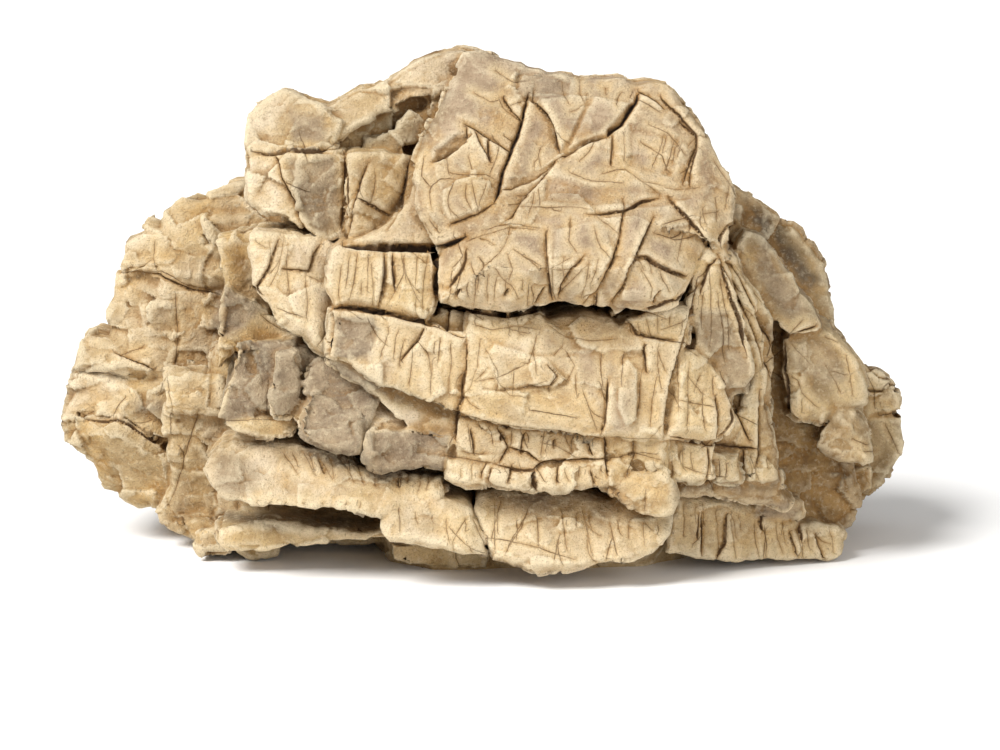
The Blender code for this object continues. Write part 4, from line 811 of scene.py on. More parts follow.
# Layers over it, from below: their two colours, what each follows, from which value of that to which it
# comes in, and how strong it is in the end
LAYERS = [
    ("#B9A384", "#C9B293", "broad", 0.42, 0.66, 0.7),
    ("#D5BC94", "#EFE0C6", "cream", 0, 1, 0.85),
    ("#967F66", "#B9A287", "beige", 0, 1, 0.9),
    ("#8A7350", "#AD936B", "tan", 0, 1, 0.95),
    ("#BE9150", "#D6B172", "patch", 0.5, 0.64, 0.55),
    # Painted highlight: a pale band along the cracks
    ("#ECD4A6", "#ECD4A6", "rim", 0.1, 0.6, 0.45),
    ("#A27238", "#B5894C", "halo", 0.08, 0.7, 0.8),
    ("#806D58", "#B09C80", "grey", 0.1, 0.9, 0.94),
    ("#694B2A", "#A27E4C", "rust", 0, 1, 0.85),
    # Painted shade: dark brown-grey where overhangs and recesses shade the skin
    ("#4E4236", "#5E5244", "painted_shade", 0, 1, 0.85),
    ("#F2E2C0", "#F2E2C0", "worn", 0, 1, 0.6),
    # Dirt and painted shade in the hollows: ochre in shallow ones, dark brown in deep ones and under ledges
    ("#99703B", "#A67F4A", "dirt_and_shade", 0.03, 0.35, 0.65),
    ("#4E361D", "#5A4126", "dirt_and_shade", 0.3, 1, 0.8),
    ("#EEDCB8", "#EEDCB8", "grit", 0.53, 0.72, 0.4),
    ("#6E5234", "#7A6043", "sand", 0.52, 0.66, 0.42),
    ("#5F4628", "#5F4628", "speck", 0.64, 0.76, 0.35),
    ("#6A4A2A", "#6A4A2A", "pits", 0, 1, 0.45),
    ("#5E4226", "#5E4226", "hairs", 0, 1, 0.6),
    ("#35230F", "#35230F", "crack", 0.35, 0.95, 0.85),
    ("#4E3418", "#4E3418", "line", 0, 1, 0.92),
    ("#241608", "#241608", "gap", 0, 1, 0.9),
]

# What stands out of the stone's skin in its fine relief, or is cut into it, in mm
RELIEF = {"blotch": 2.2, "grit": 1.25, "sand": 0.7, "pits": -0.25, "hairs": -0.25, "line": -0.5}

# Sizes in the material, in millimetres
CRACK_JAG = 0.14  # how far the edge of a drawn crack wavers
HAIR_CELL = 9.0  # size of the net of hair cracks at the sides and behind
HAIR_BEND = (3.5, 1.4)  # over which length that net is bent, and how far
PIT_SPACING = 1.3

# How matt the stone is where blotches are dark and where they are light, its gloss, and the strength of
# its relief
MATT = (0.82, 0.95)
GLOSS = 0.3
BUMP_STRENGTH = 0.9

# Light: strength of the white room, and the lamps with their places in metres, energies, and angle or size
ROOM_LIGHT = 0.43
LAMPS = (
    ("SUN", "key", (-0.9, -0.6, 1.25), 4.3, 0.5),
    ("AREA", "fill", (0.5, -1.0, 0.35), 5, 0.7),
)
LIT_PLACE = (0, 0, 0.05)
FLOOR_SIZE = 4.0


def seen(u, v, y):
    """The point at depth y that shows at (u, v) of the middle plane, from the eye in front, in mm."""
    nearer = (y + EYE_BACK) / EYE_BACK
    return Vector((EYE_RIGHT + nearer * (u - EYE_RIGHT), y, EYE_UP + nearer * (v - EYE_UP)))


def chipped(outline, chance):
    """An outline with the small chips that a broken edge has."""
    points = []
    for start, end in zip(outline, outline[1:] + outline[:1]):
        start, end = Vector(start), Vector(end)
        run = end - start
        across = Vector((-run.y, run.x)).normalized()
        count = max(1, round(run.length / CHIP_SPACING))
        for i in range(count):
            share = (i + (chance.uniform(-CHIP_DRIFT, CHIP_DRIFT) if i else 0)) / count
            chip = chance.uniform(-CHIP_SIZE, CHIP_SIZE) * (1 if i else CORNER_SHARE)
            points.append(start + run * share + across * chip)
    return points


def extruded(bm, face):
    """Extrude one face and give the new one."""
    grown = bmesh.ops.extrude_face_region(bm, geom=[face])["geom"]
    return next(part for part in grown if isinstance(part, bmesh.types.BMFace))


def add_bed(bm, front, back, lean, rounding, taper, outline, chance):
    """A bed drawn by its outline, with a rounded face in front and a narrowing run into the rock behind."""
    middle_u = sum(u for u, v in outline) / len(outline)
    middle_v = sum(v for u, v in outline) / len(outline)
    ring = []
    for u, v in chipped(outline, chance):
        depth = front + lean[0] * (u - middle_u) + lean[1] * (v - middle_v)
        ring.append(bm.verts.new(seen(u, v, depth) * MM))
    face = bm.faces.new(ring)
    centre = sum((vert.co for vert in ring), Vector()) / len(ring)
    floor = min(vert.co.z for vert in ring)
    start = [vert.co.copy() for vert in ring]
    cap = face
    for step in RUN_STEPS:
        cap = extruded(bm, cap)
        shrink_x = 1 - (1 - taper[0]) * step**2
        shrink_z = 1 - (1 - taper[1]) * step**2
        for vert, first in zip(cap.verts, start):
            vert.co.x = centre.x + (first.x - centre.x) * shrink_x
            vert.co.y = first.y + (back * MM - first.y) * step
            vert.co.z = floor + (first.z - floor) * shrink_z
    reach = sum((vert.co - centre).length for vert in ring) / len(ring)
    for inset, swell in rounding:
        if inset < DOMED_FROM:
            bmesh.ops.inset_region(bm, faces=[face], thickness=inset * MM, use_even_offset=False)
        else:
            face = extruded(bm, face)
            shrink = 1 - inset * MM / reach
            for vert in face.verts:
                vert.co.x = centre.x + (vert.co.x - centre.x) * shrink
                vert.co.z = centre.z + (vert.co.z - centre.z) * shrink
        bmesh.ops.translate(bm, verts=face.verts, vec=(0, -swell * MM, 0))


def add_block(bm, low, high, wear, tilt, chance):
    """A broken block between two corners, turned a little, its corners knocked about and its edges worn."""
    bevel, jitter = wear
    made = bmesh.ops.create_cube(bm, size=1.0)["verts"]
    centre = (Vector(low) + Vector(high)) / 2
    size = Vector(high) - Vector(low)
    turn = Euler([math.radians(chance.uniform(-tilt, tilt)) * share for share in (0.4, 0.4, 1)])
    bmesh.ops.scale(bm, verts=made, vec=size * MM)
    bmesh.ops.rotate(bm, verts=made, cent=(0, 0, 0), matrix=turn.to_matrix())
    bmesh.ops.translate(bm, verts=made, vec=centre * MM)
    for vert in made:
        vert.co += Vector([chance.uniform(-jitter, jitter) * MM for axis in range(3)])
    edges = {edge for vert in made for edge in vert.link_edges}
    bmesh.ops.bevel(bm, geom=list(edges), offset=bevel * MM, segments=2, profile=0.5, affect="EDGES",
                    material=-1)


def add_back(bm, chance):
    """Courses of blocks, one on another, whose ends round forward in plan as a weathered outcrop does."""
    for bottom, top, left, right, back, count in COURSES:
        cuts = [left + (right - left) * i / count for i in range(count + 1)]
        drift = [chance.uniform(-JOINT_DRIFT, JOINT_DRIFT) * (0 < i < count) for i in range(count + 1)]
        cuts = [cut + moved for cut, moved in zip(cuts, drift)]
        half = (right - left) / 2
        for start, end in zip(cuts, cuts[1:]):
            away = abs((start + end - left - right) / 2) / half
            rounded = (back - COURSE_FRONT) * (1 - away**COURSE_ROUND) ** 0.5
            reach = COURSE_FRONT + rounded + chance.uniform(-BACK_DRIFT, BACK_DRIFT)
            front = COURSE_FRONT - MIDDLE_REACH * (away < MIDDLE_SHARE)
            foot = bottom - BED_LAP + chance.uniform(-FOOT_DRIFT, FOOT_DRIFT)
            head = top + BED_LAP + chance.uniform(-TOP_DRIFT, TOP_DRIFT)
            low = (start - SIDE_LAP, front, foot)
            high = (end + SIDE_LAP, max(reach, LEAST_BACK), head)
            add_block(bm, low, high, BLOCK_WEAR, COURSE_TURN, chance)


def add_sole(bm):
    """The lump under the middle that carries the rock."""
    ring = [bm.verts.new(Vector((x, y, -SOLE_BELOW)) * MM) for x, y in SOLE]
    top = extruded(bm, bm.faces.new(ring))
    bmesh.ops.translate(bm, verts=top.verts, vec=(0, 0, (SOLE_TOP + SOLE_BELOW) * MM))
    bmesh.ops.scale(bm, verts=top.verts, vec=(SOLE_GROWS, SOLE_GROWS, 1))


def build_blocks():
    """All beds, courses and the heart as overlapping closed bodies in one mesh."""
    chance = random.Random(SEED)
    chips = random.Random(SEED + 1)
    bm = bmesh.new()
    for front, back, lean, rounding, taper, outline in BEDS.values():
        add_bed(bm, front, back, lean, rounding, taper, outline, chips)
    add_back(bm, chance)
    for low, high in HEART:
        add_block(bm, low, high, HEART_WEAR, 0, chance)
    add_sole(bm)
    bmesh.ops.recalc_face_normals(bm, faces=bm.faces[:])
    bmesh.ops.triangulate(bm, faces=bm.faces[:])
    mesh = bpy.data.meshes.new("weathered_rock")
    bm.to_mesh(mesh)
    bm.free()
    rock = bpy.data.objects.new("weathered_rock", mesh)
    bpy.context.scene.collection.objects.link(rock)
    return rock


def apply_modifiers(rock):
    """Give the rock the mesh that its modifiers make of it."""
    graph = bpy.context.evaluated_depsgraph_get()
    mesh = bpy.data.meshes.new_from_object(rock.evaluated_get(graph))
    rock.modifiers.clear()
    rock.data = mesh


def fuse(rock):
    """Turn the overlapping bodies into one skin of small, even cells."""
    remesh = rock.modifiers.new("fuse", "REMESH")
    remesh.mode = "VOXEL"
    remesh.voxel_size = GRAIN * MM
    apply_modifiers(rock)


def points_of(mesh):
    """The points of a mesh, in millimetres."""
    points = np.empty(len(mesh.vertices) * 3)
    mesh.vertices.foreach_get("co", points)
    return points.reshape(-1, 3) / MM


def normals_of(mesh):
    """The direction in which the skin faces at each point."""
    normals = np.empty(len(mesh.vertices) * 3)
    mesh.vertex_normals.foreach_get("vector", normals)
    return normals.reshape(-1, 3)


def move_points(mesh, points):
    """Put the points of a mesh at new places, given in millimetres."""
    mesh.vertices.foreach_set("co", (points * MM).ravel())
    mesh.update()


def edges_of(mesh):
    """The two points that each edge joins."""
    ends = np.empty(len(mesh.edges) * 2, np.int64)
    mesh.edges.foreach_get("vertices", ends)
    return ends.reshape(-1, 2)


def averaged(values, ends, repeats):
    """Each point's values, averaged over and over with those of its neighbours."""
    count = len(values)
    share = np.bincount(ends.ravel(), minlength=count) + 1.0
    values = values.reshape(count, -1).copy()
    for turn in range(repeats):
        for column in range(values.shape[1]):
            old = values[:, column]
            total = sum(np.bincount(ends[:, a], old[ends[:, b]], count) for a, b in ((0, 1), (1, 0)))
            values[:, column] = (old + total) / share
    return values


def corner_rows(cell, table):
    """For each of the 8 corners of every point's cell: the corner's offset, and its row of the table."""
    for corner in range(8):
        offset = np.array([corner & 1, (corner >> 1) & 1, corner >> 2])
        index = ((cell + offset) * [73856093, 19349663, 83492791]).sum(axis=1) % len(table)
        yield offset, table[index]


def smooth_noise(points, size, seed):
    """Smooth random values from -1 to 1, one for each point, that change over the given size in mm."""
    table = np.random.default_rng(seed).uniform(-1, 1, 4096)
    spot = points / size
    cell = np.floor(spot).astype(np.int64)
    part = spot - cell
    part = part * part * (3 - 2 * part)
    value = np.zeros(len(points))
    for offset, row in corner_rows(cell, table):
        value += np.where(offset, part, 1 - part).prod(axis=1) * row
    return value


def waved(points, waves, axes):
    """How far waves of smooth noise move each point along each axis."""
    moves = [sum(amount * smooth_noise(points, size, seed + i) for amount, size, seed in waves)
             for i in range(axes)]
    return np.stack(moves, axis=1)


def broken_cells(points, size, seed):
    """A pattern of broken cells: for each point how far it is from its cell's edge, in mm, its cell's own
    value from 0 to 1, and its height on a plane that each cell tilts in its own way, about -1 to 1."""
    table = np.random.default_rng(seed).uniform(0.15, 0.85, (4096, 7))
    spot = points / size
    cell = np.floor(spot - 0.5).astype(np.int64)
    first = np.full(len(points), np.inf)
    second = np.full(len(points), np.inf)
    value = np.zeros(len(points))
    height = np.zeros(len(points))
    for offset, row in corner_rows(cell, table):
        gap = spot - cell - offset - row[:, :3]
        away = np.sqrt((gap * gap).sum(axis=1))
        nearer = away < first
        second = np.where(nearer, first, np.minimum(second, away))
        value = np.where(nearer, (row[:, 3] - 0.15) / 0.7, value)
        height = np.where(nearer, (gap * (row[:, 4:] - 0.5)).sum(axis=1) * 4, height)
        first = np.where(nearer, away, first)
    return (second - first) * np.mean(size), value, height


def line_distance(points, line):
    """Distance from each point to a line of straight stretches, negative on its left, and how far along the
    line that is, from 0 to 1."""
    line = np.array(line, float)
    lengths = np.linalg.norm(np.diff(line, axis=0), axis=1)
    before = np.concatenate([[0], np.cumsum(lengths)])
    nearest = np.full(len(points), np.inf)
    side = np.ones(len(points))
    place = np.zeros(len(points))
    for i, length in enumerate(lengths):
        along = line[i + 1] - line[i]
        from_start = points - line[i]
        share = np.clip(from_start @ along / length**2, 0, 1)
        away = np.linalg.norm(from_start - share[:, None] * along, axis=1)
        closer = away < nearest
        nearest = np.where(closer, away, nearest)
        turn = from_start[:, 1] * along[0] - from_start[:, 0] * along[1]
        side = np.where(closer, np.where(turn > 0, -1.0, 1.0), side)
        place = np.where(closer, (before[i] + share * length) / before[-1], place)
    return nearest * side, place


def inside_distance(points, outline):
    """Distance from each point to an outline, positive inside it."""
    away = np.abs(line_distance(points, outline + outline[:1])[0])
    within = np.zeros(len(points), bool)
    for (u0, v0), (u1, v1) in zip(outline, outline[1:] + outline[:1]):
        if v0 == v1:
            continue
        crosses = (v0 > points[:, 1]) != (v1 > points[:, 1])
        within ^= crosses & (points[:, 0] < u0 + (points[:, 1] - v0) * (u1 - u0) / (v1 - v0))
    return np.where(within, away, -away)


def front_reading(points):
    """Where each point shows on the middle plane, from the eye in front."""
    nearer = (points[:, 1] + EYE_BACK) / EYE_BACK
    u = EYE_RIGHT + (points[:, 0] - EYE_RIGHT) / nearer
    v = EYE_UP + (points[:, 2] - EYE_UP) / nearer
    return np.stack([u, v], axis=1)


def facing_front(points, normals):
    """True where the skin is turned towards the eye in front."""
    eye = np.array([EYE_RIGHT, -EYE_BACK, EYE_UP])
    return ((eye - points) * normals).sum(axis=1) > 0


def shown_near(shown, front, corners, edge):
    """Which points of the front show within an edge's width of the box round some corners."""
    corners = np.array(corners, float)
    low = corners.min(axis=0) - edge
    high = corners.max(axis=0) + edge
    return np.flatnonzero(((shown > low) & (shown < high)).all(axis=1) & front)


def near_outline(shown, front, outline, edge):
    """Which points show within an edge's width of an outline or inside it, and how far inside each is."""
    near = shown_near(shown, front, outline, edge)
    return near, inside_distance(shown[near], outline)


def weather_form(rock):
    """The broad unevenness, hollows and swellings that the solid has too."""
    points = points_of(rock.data)
    normals = normals_of(rock.data)
    depth = np.zeros(len(points))
    for u, v, y, radius, amount in BRUSHES:
        away = np.linalg.norm(points - np.array(seen(u, v, y)), axis=1) / radius
        depth += amount * np.clip(1 - away**2, 0, None) ** 2
    shown = front_reading(points)
    front = facing_front(points, normals)
    for amount, edge, outline in HOLLOWS:
        near, within = near_outline(shown, front, outline, edge)
        depth[near] += amount * np.clip(within / edge, 0, 1)
    for seed, (size, amount) in enumerate(WEATHER):
        depth += amount * smooth_noise(points, size, seed)
    move_points(rock.data, points - normals * depth[:, None])


def comb_cracks(chance):
    """Hair cracks side by side, each covering its own stretch."""
    lines = []
    for kind, (first_top, first_foot), (last_top, last_foot), count in COMBS:
        for i in range(count):
            share = (i + chance.uniform(0.2, 0.8)) / count
            leaned = min(max(share + chance.uniform(-COMB_LEAN, COMB_LEAN), 0), 1)
            top = Vector(first_top).lerp(Vector(last_top), share)
            foot = Vector(first_foot).lerp(Vector(last_foot), leaned)
            begin = chance.uniform(*COMB_BEGIN)
            end = max(begin, 0) + chance.uniform(*COMB_LENGTH)
            bend = Vector((chance.uniform(-COMB_BEND, COMB_BEND), 0))
            stretch = (top.lerp(foot, max(begin, 0)), top.lerp(foot, (begin + end) / 2) + bend,
                       top.lerp(foot, min(end, 1)))
            lines.append((kind, [tuple(point) for point in stretch]))
    return lines


def side_cracks(chance):
    """Short hair cracks that leave the drawn ones at a slant."""
    lines = []
    for kind, line in CRACKS:
        for start, end in zip(line, line[1:]):
            start, end = Vector(start), Vector(end)
            run = end - start
            for i in range(int(run.length / BRANCH_EVERY + chance.random())):
                root = start + run * chance.random()
                turn = chance.uniform(*BRANCH_TURN) * chance.choice((-1, 1))
                away = Vector((run.x * math.cos(turn) - run.y * math.sin(turn),
                               run.x * math.sin(turn) + run.y * math.cos(turn))).normalized()
                length = chance.uniform(*BRANCH_LENGTH)
                bend = Vector([chance.uniform(-BRANCH_BEND, BRANCH_BEND) for axis in range(2)])
                stretch = (root, root + away * length * 0.5 + bend, root + away * length)
                lines.append((FINE, [tuple(point) for point in stretch]))
    return lines


def dealt_out(lines):
    """The cracks dealt out over the fields, each in the first where it keeps clear of the others."""
    fields = [[] for field in range(FIELDS)]
    for kind, line in lines:
        ends = np.array(line, float)
        spots = np.concatenate([start + (end - start) * np.linspace(0, 1, 5)[:, None]
                                for start, end in zip(ends, ends[1:])])
        low, high = ends.min(axis=0) - FIELD_GAP, ends.max(axis=0) + FIELD_GAP
        for field in fields:
            others = [other for made, other in field
                      if (np.max(other, axis=0) > low).all() and (np.min(other, axis=0) < high).all()]
            if all(np.abs(line_distance(spots, other)[0]).min() > FIELD_GAP for other in others):
                field.append((kind, line))
                break
    return fields


def cut_cracks(points, normals, marks):
    """Depth that the cracks of the front cut, and the marks that they leave."""
    chance = random.Random(SEED)
    shown = front_reading(points) + waved(points, CRACK_WAVES, 2)
    share, varied, size, seed = CRACK_BREADTH
    breadth = share + varied * smooth_noise(points, size, seed)
    growth, least = END_TAPER
    front = facing_front(points, normals)
    depth = np.zeros(len(points))
    step = np.zeros(len(points))
    nearest = np.full(len(points), CRACK_REACH)
    for number, field in enumerate(dealt_out(CRACKS + comb_cracks(chance) + side_cracks(chance))):
        nearest_here = marks[f"away {number}"]
        nearest_here[:] = CRACK_REACH
        marks[f"side {number}"][:] = CRACK_REACH
        for kind, line in field:
            near = shown_near(shown, front, line, STEP_REACH if kind else CRACK_REACH)
            side, place = line_distance(shown[near], line)
            away = np.abs(side)
            side = np.where((place == 0) | (place == 1), away, side)
            from_end = np.minimum(place, 1 - place)
            taper = np.clip(from_end * growth + least, 0, 1)
            width = CRACK_WIDTHS[kind] * breadth[near] * taper
            closer = away < nearest_here[near]
            at = near[closer]
            nearest_here[at] = away[closer]
            marks[f"side {number}"][at] = side[closer]
            marks[f"gape {number}"][at] = width[closer]
            nearest[near] = np.minimum(nearest[near], away)
            groove = np.clip(1.1 - away / (width / 2 + GROOVE_EDGE), 0, 1)
            depth[near] = np.maximum(depth[near], CRACK_DEPTHS[kind] * taper * groove)
            halo = np.exp(-away / HALO_REACH[kind]) * HALO_STRENGTH[kind]
            marks["halo"][near] = np.maximum(marks["halo"][near], halo)
            if kind:
                lift = CRACK_STEP * kind * chance.choice((-1, 1)) * chance.uniform(LEAST_STEP, 1)
                fading = np.clip(from_end * STEP_TAPER, 0, 1) * np.clip(1 - away / STEP_REACH, 0, 1) ** 2
                step[near] += lift * np.sign(side) * fading
    close = nearest < CRACK_REACH
    # A painted highlight: a pale band along each crack, where light catches its edge
    marks["rim"][:] = np.exp(-nearest / PAINTED_HIGHLIGHT_REACH) * close
    return depth + step + PILLOW * np.exp(-nearest / PILLOW_REACH) * close


def cut_back(points, normals, marks):
    """The cracks of the parts that don't show from the front, as a broken pattern of their own."""
    hidden = np.where(facing_front(points, normals) & (points[:, 1] < BACK_FROM), 0.0, 1.0)
    bent = points + waved(points, JOINT_WAVES, 3)
    marks["behind"][:] = hidden
    amount, size, seed = BACK_WAVE
    depth = amount * smooth_noise(points, size, seed) * hidden
    halo_reach, halo_strength = BACK_HALO
    for size, width, cut, seed in BACK_JOINTS:
        edge, value, height = broken_cells(bent, np.array(size, float), seed)
        breadth = width * (0.8 + 0.6 * smooth_noise(points, 8, seed + 5))
        groove = np.clip(1 - edge / np.maximum(breadth, 0.2), 0, 1) * hidden
        depth += cut * groove + BLOCK_STEP * cut * (value - 0.5 + BLOCK_TILT * height) * hidden
        marks["crack"] = np.maximum(marks["crack"], groove)
        marks["halo"] = np.maximum(marks["halo"], np.exp(-edge / halo_reach) * halo_strength * hidden)
    layer = points[:, 2]
    for amount, size, seed in LAYER_WAVES:
        layer = layer + amount * smooth_noise(points, size, seed)
    layer = np.abs((layer / LAYER) % 1 - 0.5) * LAYER
    open_here = np.clip(smooth_noise(points, 14, 38) * 3 - 0.2, 0, 1) * hidden
    groove = np.clip(1 - layer / LAYER_GAP, 0, 1) * open_here
    marks["crack"] = np.maximum(marks["crack"], groove)
    return depth + LAYER_CUT * groove


def mark_zones(points, normals, marks):
    """Give each place its share of each kind of stone."""
    shown = front_reading(points) + waved(points, ZONE_WAVES, 2)
    front = facing_front(points, normals) & (points[:, 1] < ZONES_END)
    for name, strength, edge, outline in ZONES:
        near, within = near_outline(shown, front, outline, edge)
        share = strength * np.clip(within / edge / 2 + 0.5, 0, 1)
        marks[name][near] = np.maximum(marks[name][near], share)
    for name, size, gain, least, seed in BEHIND:
        patch = smooth_noise(points, size, seed) + 0.5 * smooth_noise(points, size * 0.35, seed + 1)
        marks[name] = np.where(front, marks[name], np.clip(patch * gain - least, 0, 1))


def shared(marks, shares):
    """How much of something each place has, from its kinds of stone."""
    smooth = np.maximum(marks["beige"], marks["tan"])
    kinds = {**marks, "smooth": smooth, "all": np.ones(len(smooth))}
    return sum(amount * kinds[name] for name, amount in shares.items())


def mark_wear(points, normals, ends, marks):
    """Dirt and painted shade in the hollows of the skin, darker the deeper they are, and wear where it
    stands out.
    """
    smooth_near = averaged(points, ends, NEAR_TURNS)
    smooth_far = averaged(smooth_near, ends, FAR_TURNS)
    normals = averaged(normals, ends, FACING_TURNS)
    hollow_near = ((smooth_near - points) * normals).sum(axis=1)
    hollow_far = ((smooth_far - points) * normals).sum(axis=1)
    dirt_and_shade_near = np.clip(hollow_near * DIRT_AND_SHADE_NEAR, 0, 1) * DIRT_AND_SHADE_NEAR_MOST
    # Dirt together with painted shade: the deeper and broader a hollow, the darker it is painted
    marks["dirt_and_shade"] = dirt_and_shade_near + np.clip(hollow_far * DIRT_AND_SHADE_FAR - DIRT_AND_SHADE_FAR_LEAST, 0, 1)
    worn = np.clip(-hollow_near * WORN_NEAR - hollow_far * WORN_FAR - WORN_LEAST, 0, 1)
    marks["worn"] = worn * (1 - UNMARKED * marks["rust"])
    for name in ("dirt_and_shade", "worn", "halo", "rim"):
        marks[name] *= 1 - UNMARKED * marks["grey"]


def weather_skin(rock):
    """Step the fracture faces, cut the cracks, roughen the skin, and keep what each place is."""
    mesh = rock.data
    points = points_of(mesh)
    normals = normals_of(mesh)
    marks = {name: np.zeros(len(points)) for name in MARKS + ["broken"]}
    mark_zones(points, normals, marks)
    depth = cut_cracks(points, normals, marks)
    depth += cut_back(points, normals, marks)
    amount, size, seed = FACET_WAVE
    bent = points + amount * smooth_noise(points, size, seed)[:, None]
    share = shared(marks, FACET_SHARE)
    for size, amount, seed in FACETS:
        edge, value, height = broken_cells(bent, np.array(size, float), seed)
        depth += amount * share * (FACET_LIFT * (value - 0.5) + (1 - FACET_LIFT) * height)
    rough = shared(marks, ROUGH_SHARE)
    for octave, (size, amount) in enumerate(ROUGHNESS):
        depth += rough * amount * smooth_noise(points, size, ROUGH_SEED + octave)
    moved = points - normals * depth[:, None]
    move_points(mesh, moved)
    mark_wear(moved, normals, edges_of(mesh), marks)
    for name in MARKS:
        attribute = mesh.attributes.new(name, "FLOAT", "POINT")
        attribute.data.foreach_set("value", marks[name].astype(np.float32))


def thin_out(rock):
    """Fewer faces, first behind, where less of the drawn detail is, and then all over."""
    points = points_of(rock.data)
    behind = ~facing_front(points, normals_of(rock.data)) | (points[:, 1] > THINNED_FROM)
    group = rock.vertex_groups.new(name="behind")
    group.add(np.flatnonzero(behind).tolist(), 1.0, "REPLACE")
    in_front = 2 * len(rock.data.polygons) * (1 - behind.mean())
    for target, limited in ((in_front + TRIANGLES_BEHIND, True), (TRIANGLES, False)):
        decimate = rock.modifiers.new("fewer faces", "DECIMATE")
        decimate.ratio = target / sum(len(face.vertices) - 2 for face in rock.data.polygons)
        decimate.use_collapse_triangulate = True
        decimate.vertex_group = group.name if limited else ""
        apply_modifiers(rock)
    rock.vertex_groups.clear()


def set_on_base(rock):
    """Cut the underside at the ground, drop stray crumbs, and put the rock's middle over the origin."""
    bm = bmesh.new()
    bm.from_mesh(rock.data)
    whole = bm.verts[:] + bm.edges[:] + bm.faces[:]
    cut = bmesh.ops.bisect_plane(bm, geom=whole, plane_co=(0, 0, 0), plane_no=(0, 0, -1), clear_outer=True)
    rim = [part for part in cut["geom_cut"] if isinstance(part, bmesh.types.BMEdge)]
    bmesh.ops.triangle_fill(bm, use_beauty=True, use_dissolve=False, edges=rim, normal=(0, 0, -1))
    keep_largest(bm)
    bmesh.ops.translate(bm, verts=bm.verts, vec=(-ROCK_MIDDLE[0] * MM, -ROCK_MIDDLE[1] * MM, 0))
    bm.to_mesh(rock.data)
    bm.free()
    rock.data.shade_smooth()


def keep_largest(bm):
    """Delete every shell of the mesh but the one with the most points."""
    left = set(bm.verts)
    shells = []
    while left:
        shell = {left.pop()}
        growing = list(shell)
        while growing:
            vert = growing.pop()
            for edge in vert.link_edges:
                other = edge.other_vert(vert)
                if other in left:
                    left.remove(other)
                    shell.add(other)
                    growing.append(other)
        shells.append(shell)
    shells.sort(key=len)
    spare = [vert for shell in shells[:-1] for vert in shell]
    bmesh.ops.delete(bm, geom=spare, context="VERTS")


def linear(code):
    """An sRGB hex value as a linear colour."""
    parts = [int(code[i:i + 2], 16) / 255 for i in (1, 3, 5)]
    return tuple(c / 12.92 if c <= 0.04045 else ((c + 0.055) / 1.055) ** 2.4 for c in parts) + (1.0,)


def add(tree, kind, inputs=None, output=0, **settings):
    """Add a node, set its settings, fill its inputs with values or links, and give one of its outputs."""
    made = tree.nodes.new(kind)
    for name, value in settings.items():
        setattr(made, name, value)
    for socket, value in (inputs or {}).items():
        if isinstance(value, bpy.types.NodeSocket):
            tree.links.new(value, made.inputs[socket])
        else:
            made.inputs[socket].default_value = value
    return made.outputs[output]


def draw_cracks(tree, value):
    """The drawn cracks' dark lines and the gaps of the wide ones, on each side of every crack's own line."""
    jag = add(tree, "ShaderNodeMapRange", {"Value": value["grit"], 1: 0, 2: 1, 3: -CRACK_JAG, 4: CRACK_JAG})
    lines = 0.0
    gaps = 0.0
    for field in range(FIELDS):
        gape = value[f"gape {field}"]
        side = add(tree, "ShaderNodeMath", {0: value[f"side {field}"], 1: jag}, operation="ADD")
        side = add(tree, "ShaderNodeMath", {0: side}, operation="ABSOLUTE")
        inner = add(tree, "ShaderNodeMath", {0: gape, 1: 0.25}, operation="MULTIPLY")
        outer = add(tree, "ShaderNodeMath", {0: gape, 1: 0.5, 2: 0.09}, operation="MULTIPLY_ADD")
        line = add(tree, "ShaderNodeMapRange", {"Value": side, 1: inner, 2: outer, 3: 1, 4: 0})
        near = add(tree, "ShaderNodeMapRange", {"Value": value[f"away {field}"], 1: 0.8, 2: 1.2, 3: 1, 4: 0})
        deep = add(tree, "ShaderNodeMapRange", {"Value": gape, 1: 0.03, 2: 0.34, 3: 0.25, 4: 1})
        wide = add(tree, "ShaderNodeMapRange", {"Value": gape, 1: 0.35, 2: 0.7})
        line = add(tree, "ShaderNodeMath", {0: line, 1: near}, operation="MULTIPLY")
        line = add(tree, "ShaderNodeMath", {0: line, 1: deep}, operation="MULTIPLY")
        gap = add(tree, "ShaderNodeMath", {0: line, 1: wide}, operation="MULTIPLY")
        lines = add(tree, "ShaderNodeMath", {0: lines, 1: line}, operation="MAXIMUM")
        gaps = add(tree, "ShaderNodeMath", {0: gaps, 1: gap}, operation="MAXIMUM")
    return lines, gaps


def draw_hairs(tree, value, place):
    """Hair cracks of the sides and the back, between the cells of a bent net, here and there."""
    size, amount = HAIR_BEND
    bend = add(tree, "ShaderNodeTexNoise", {"Vector": place, "Scale": 1 / (size * MM), "Detail": 3}, "Color")
    bent = add(tree, "ShaderNodeVectorMath", {0: bend, 1: (amount * MM,) * 3, 2: place},
               operation="MULTIPLY_ADD")
    cells = add(tree, "ShaderNodeTexVoronoi", {"Vector": bent, "Scale": 1 / (HAIR_CELL * MM)},
                feature="DISTANCE_TO_EDGE")
    hairs = add(tree, "ShaderNodeMapRange", {"Value": cells, 1: 0.009, 2: 0.03, 3: 1, 4: 0})
    here = add(tree, "ShaderNodeMapRange", {"Value": value["patch"], 1: 0.5, 2: 0.45, 3: 0, 4: 1})
    hairs = add(tree, "ShaderNodeMath", {0: hairs, 1: here}, operation="MULTIPLY")
    shown = add(tree, "ShaderNodeMapRange", {"Value": value["behind"], 1: 0, 2: 1, 3: 0.12, 4: 1})
    return add(tree, "ShaderNodeMath", {0: hairs, 1: shown}, operation="MULTIPLY")


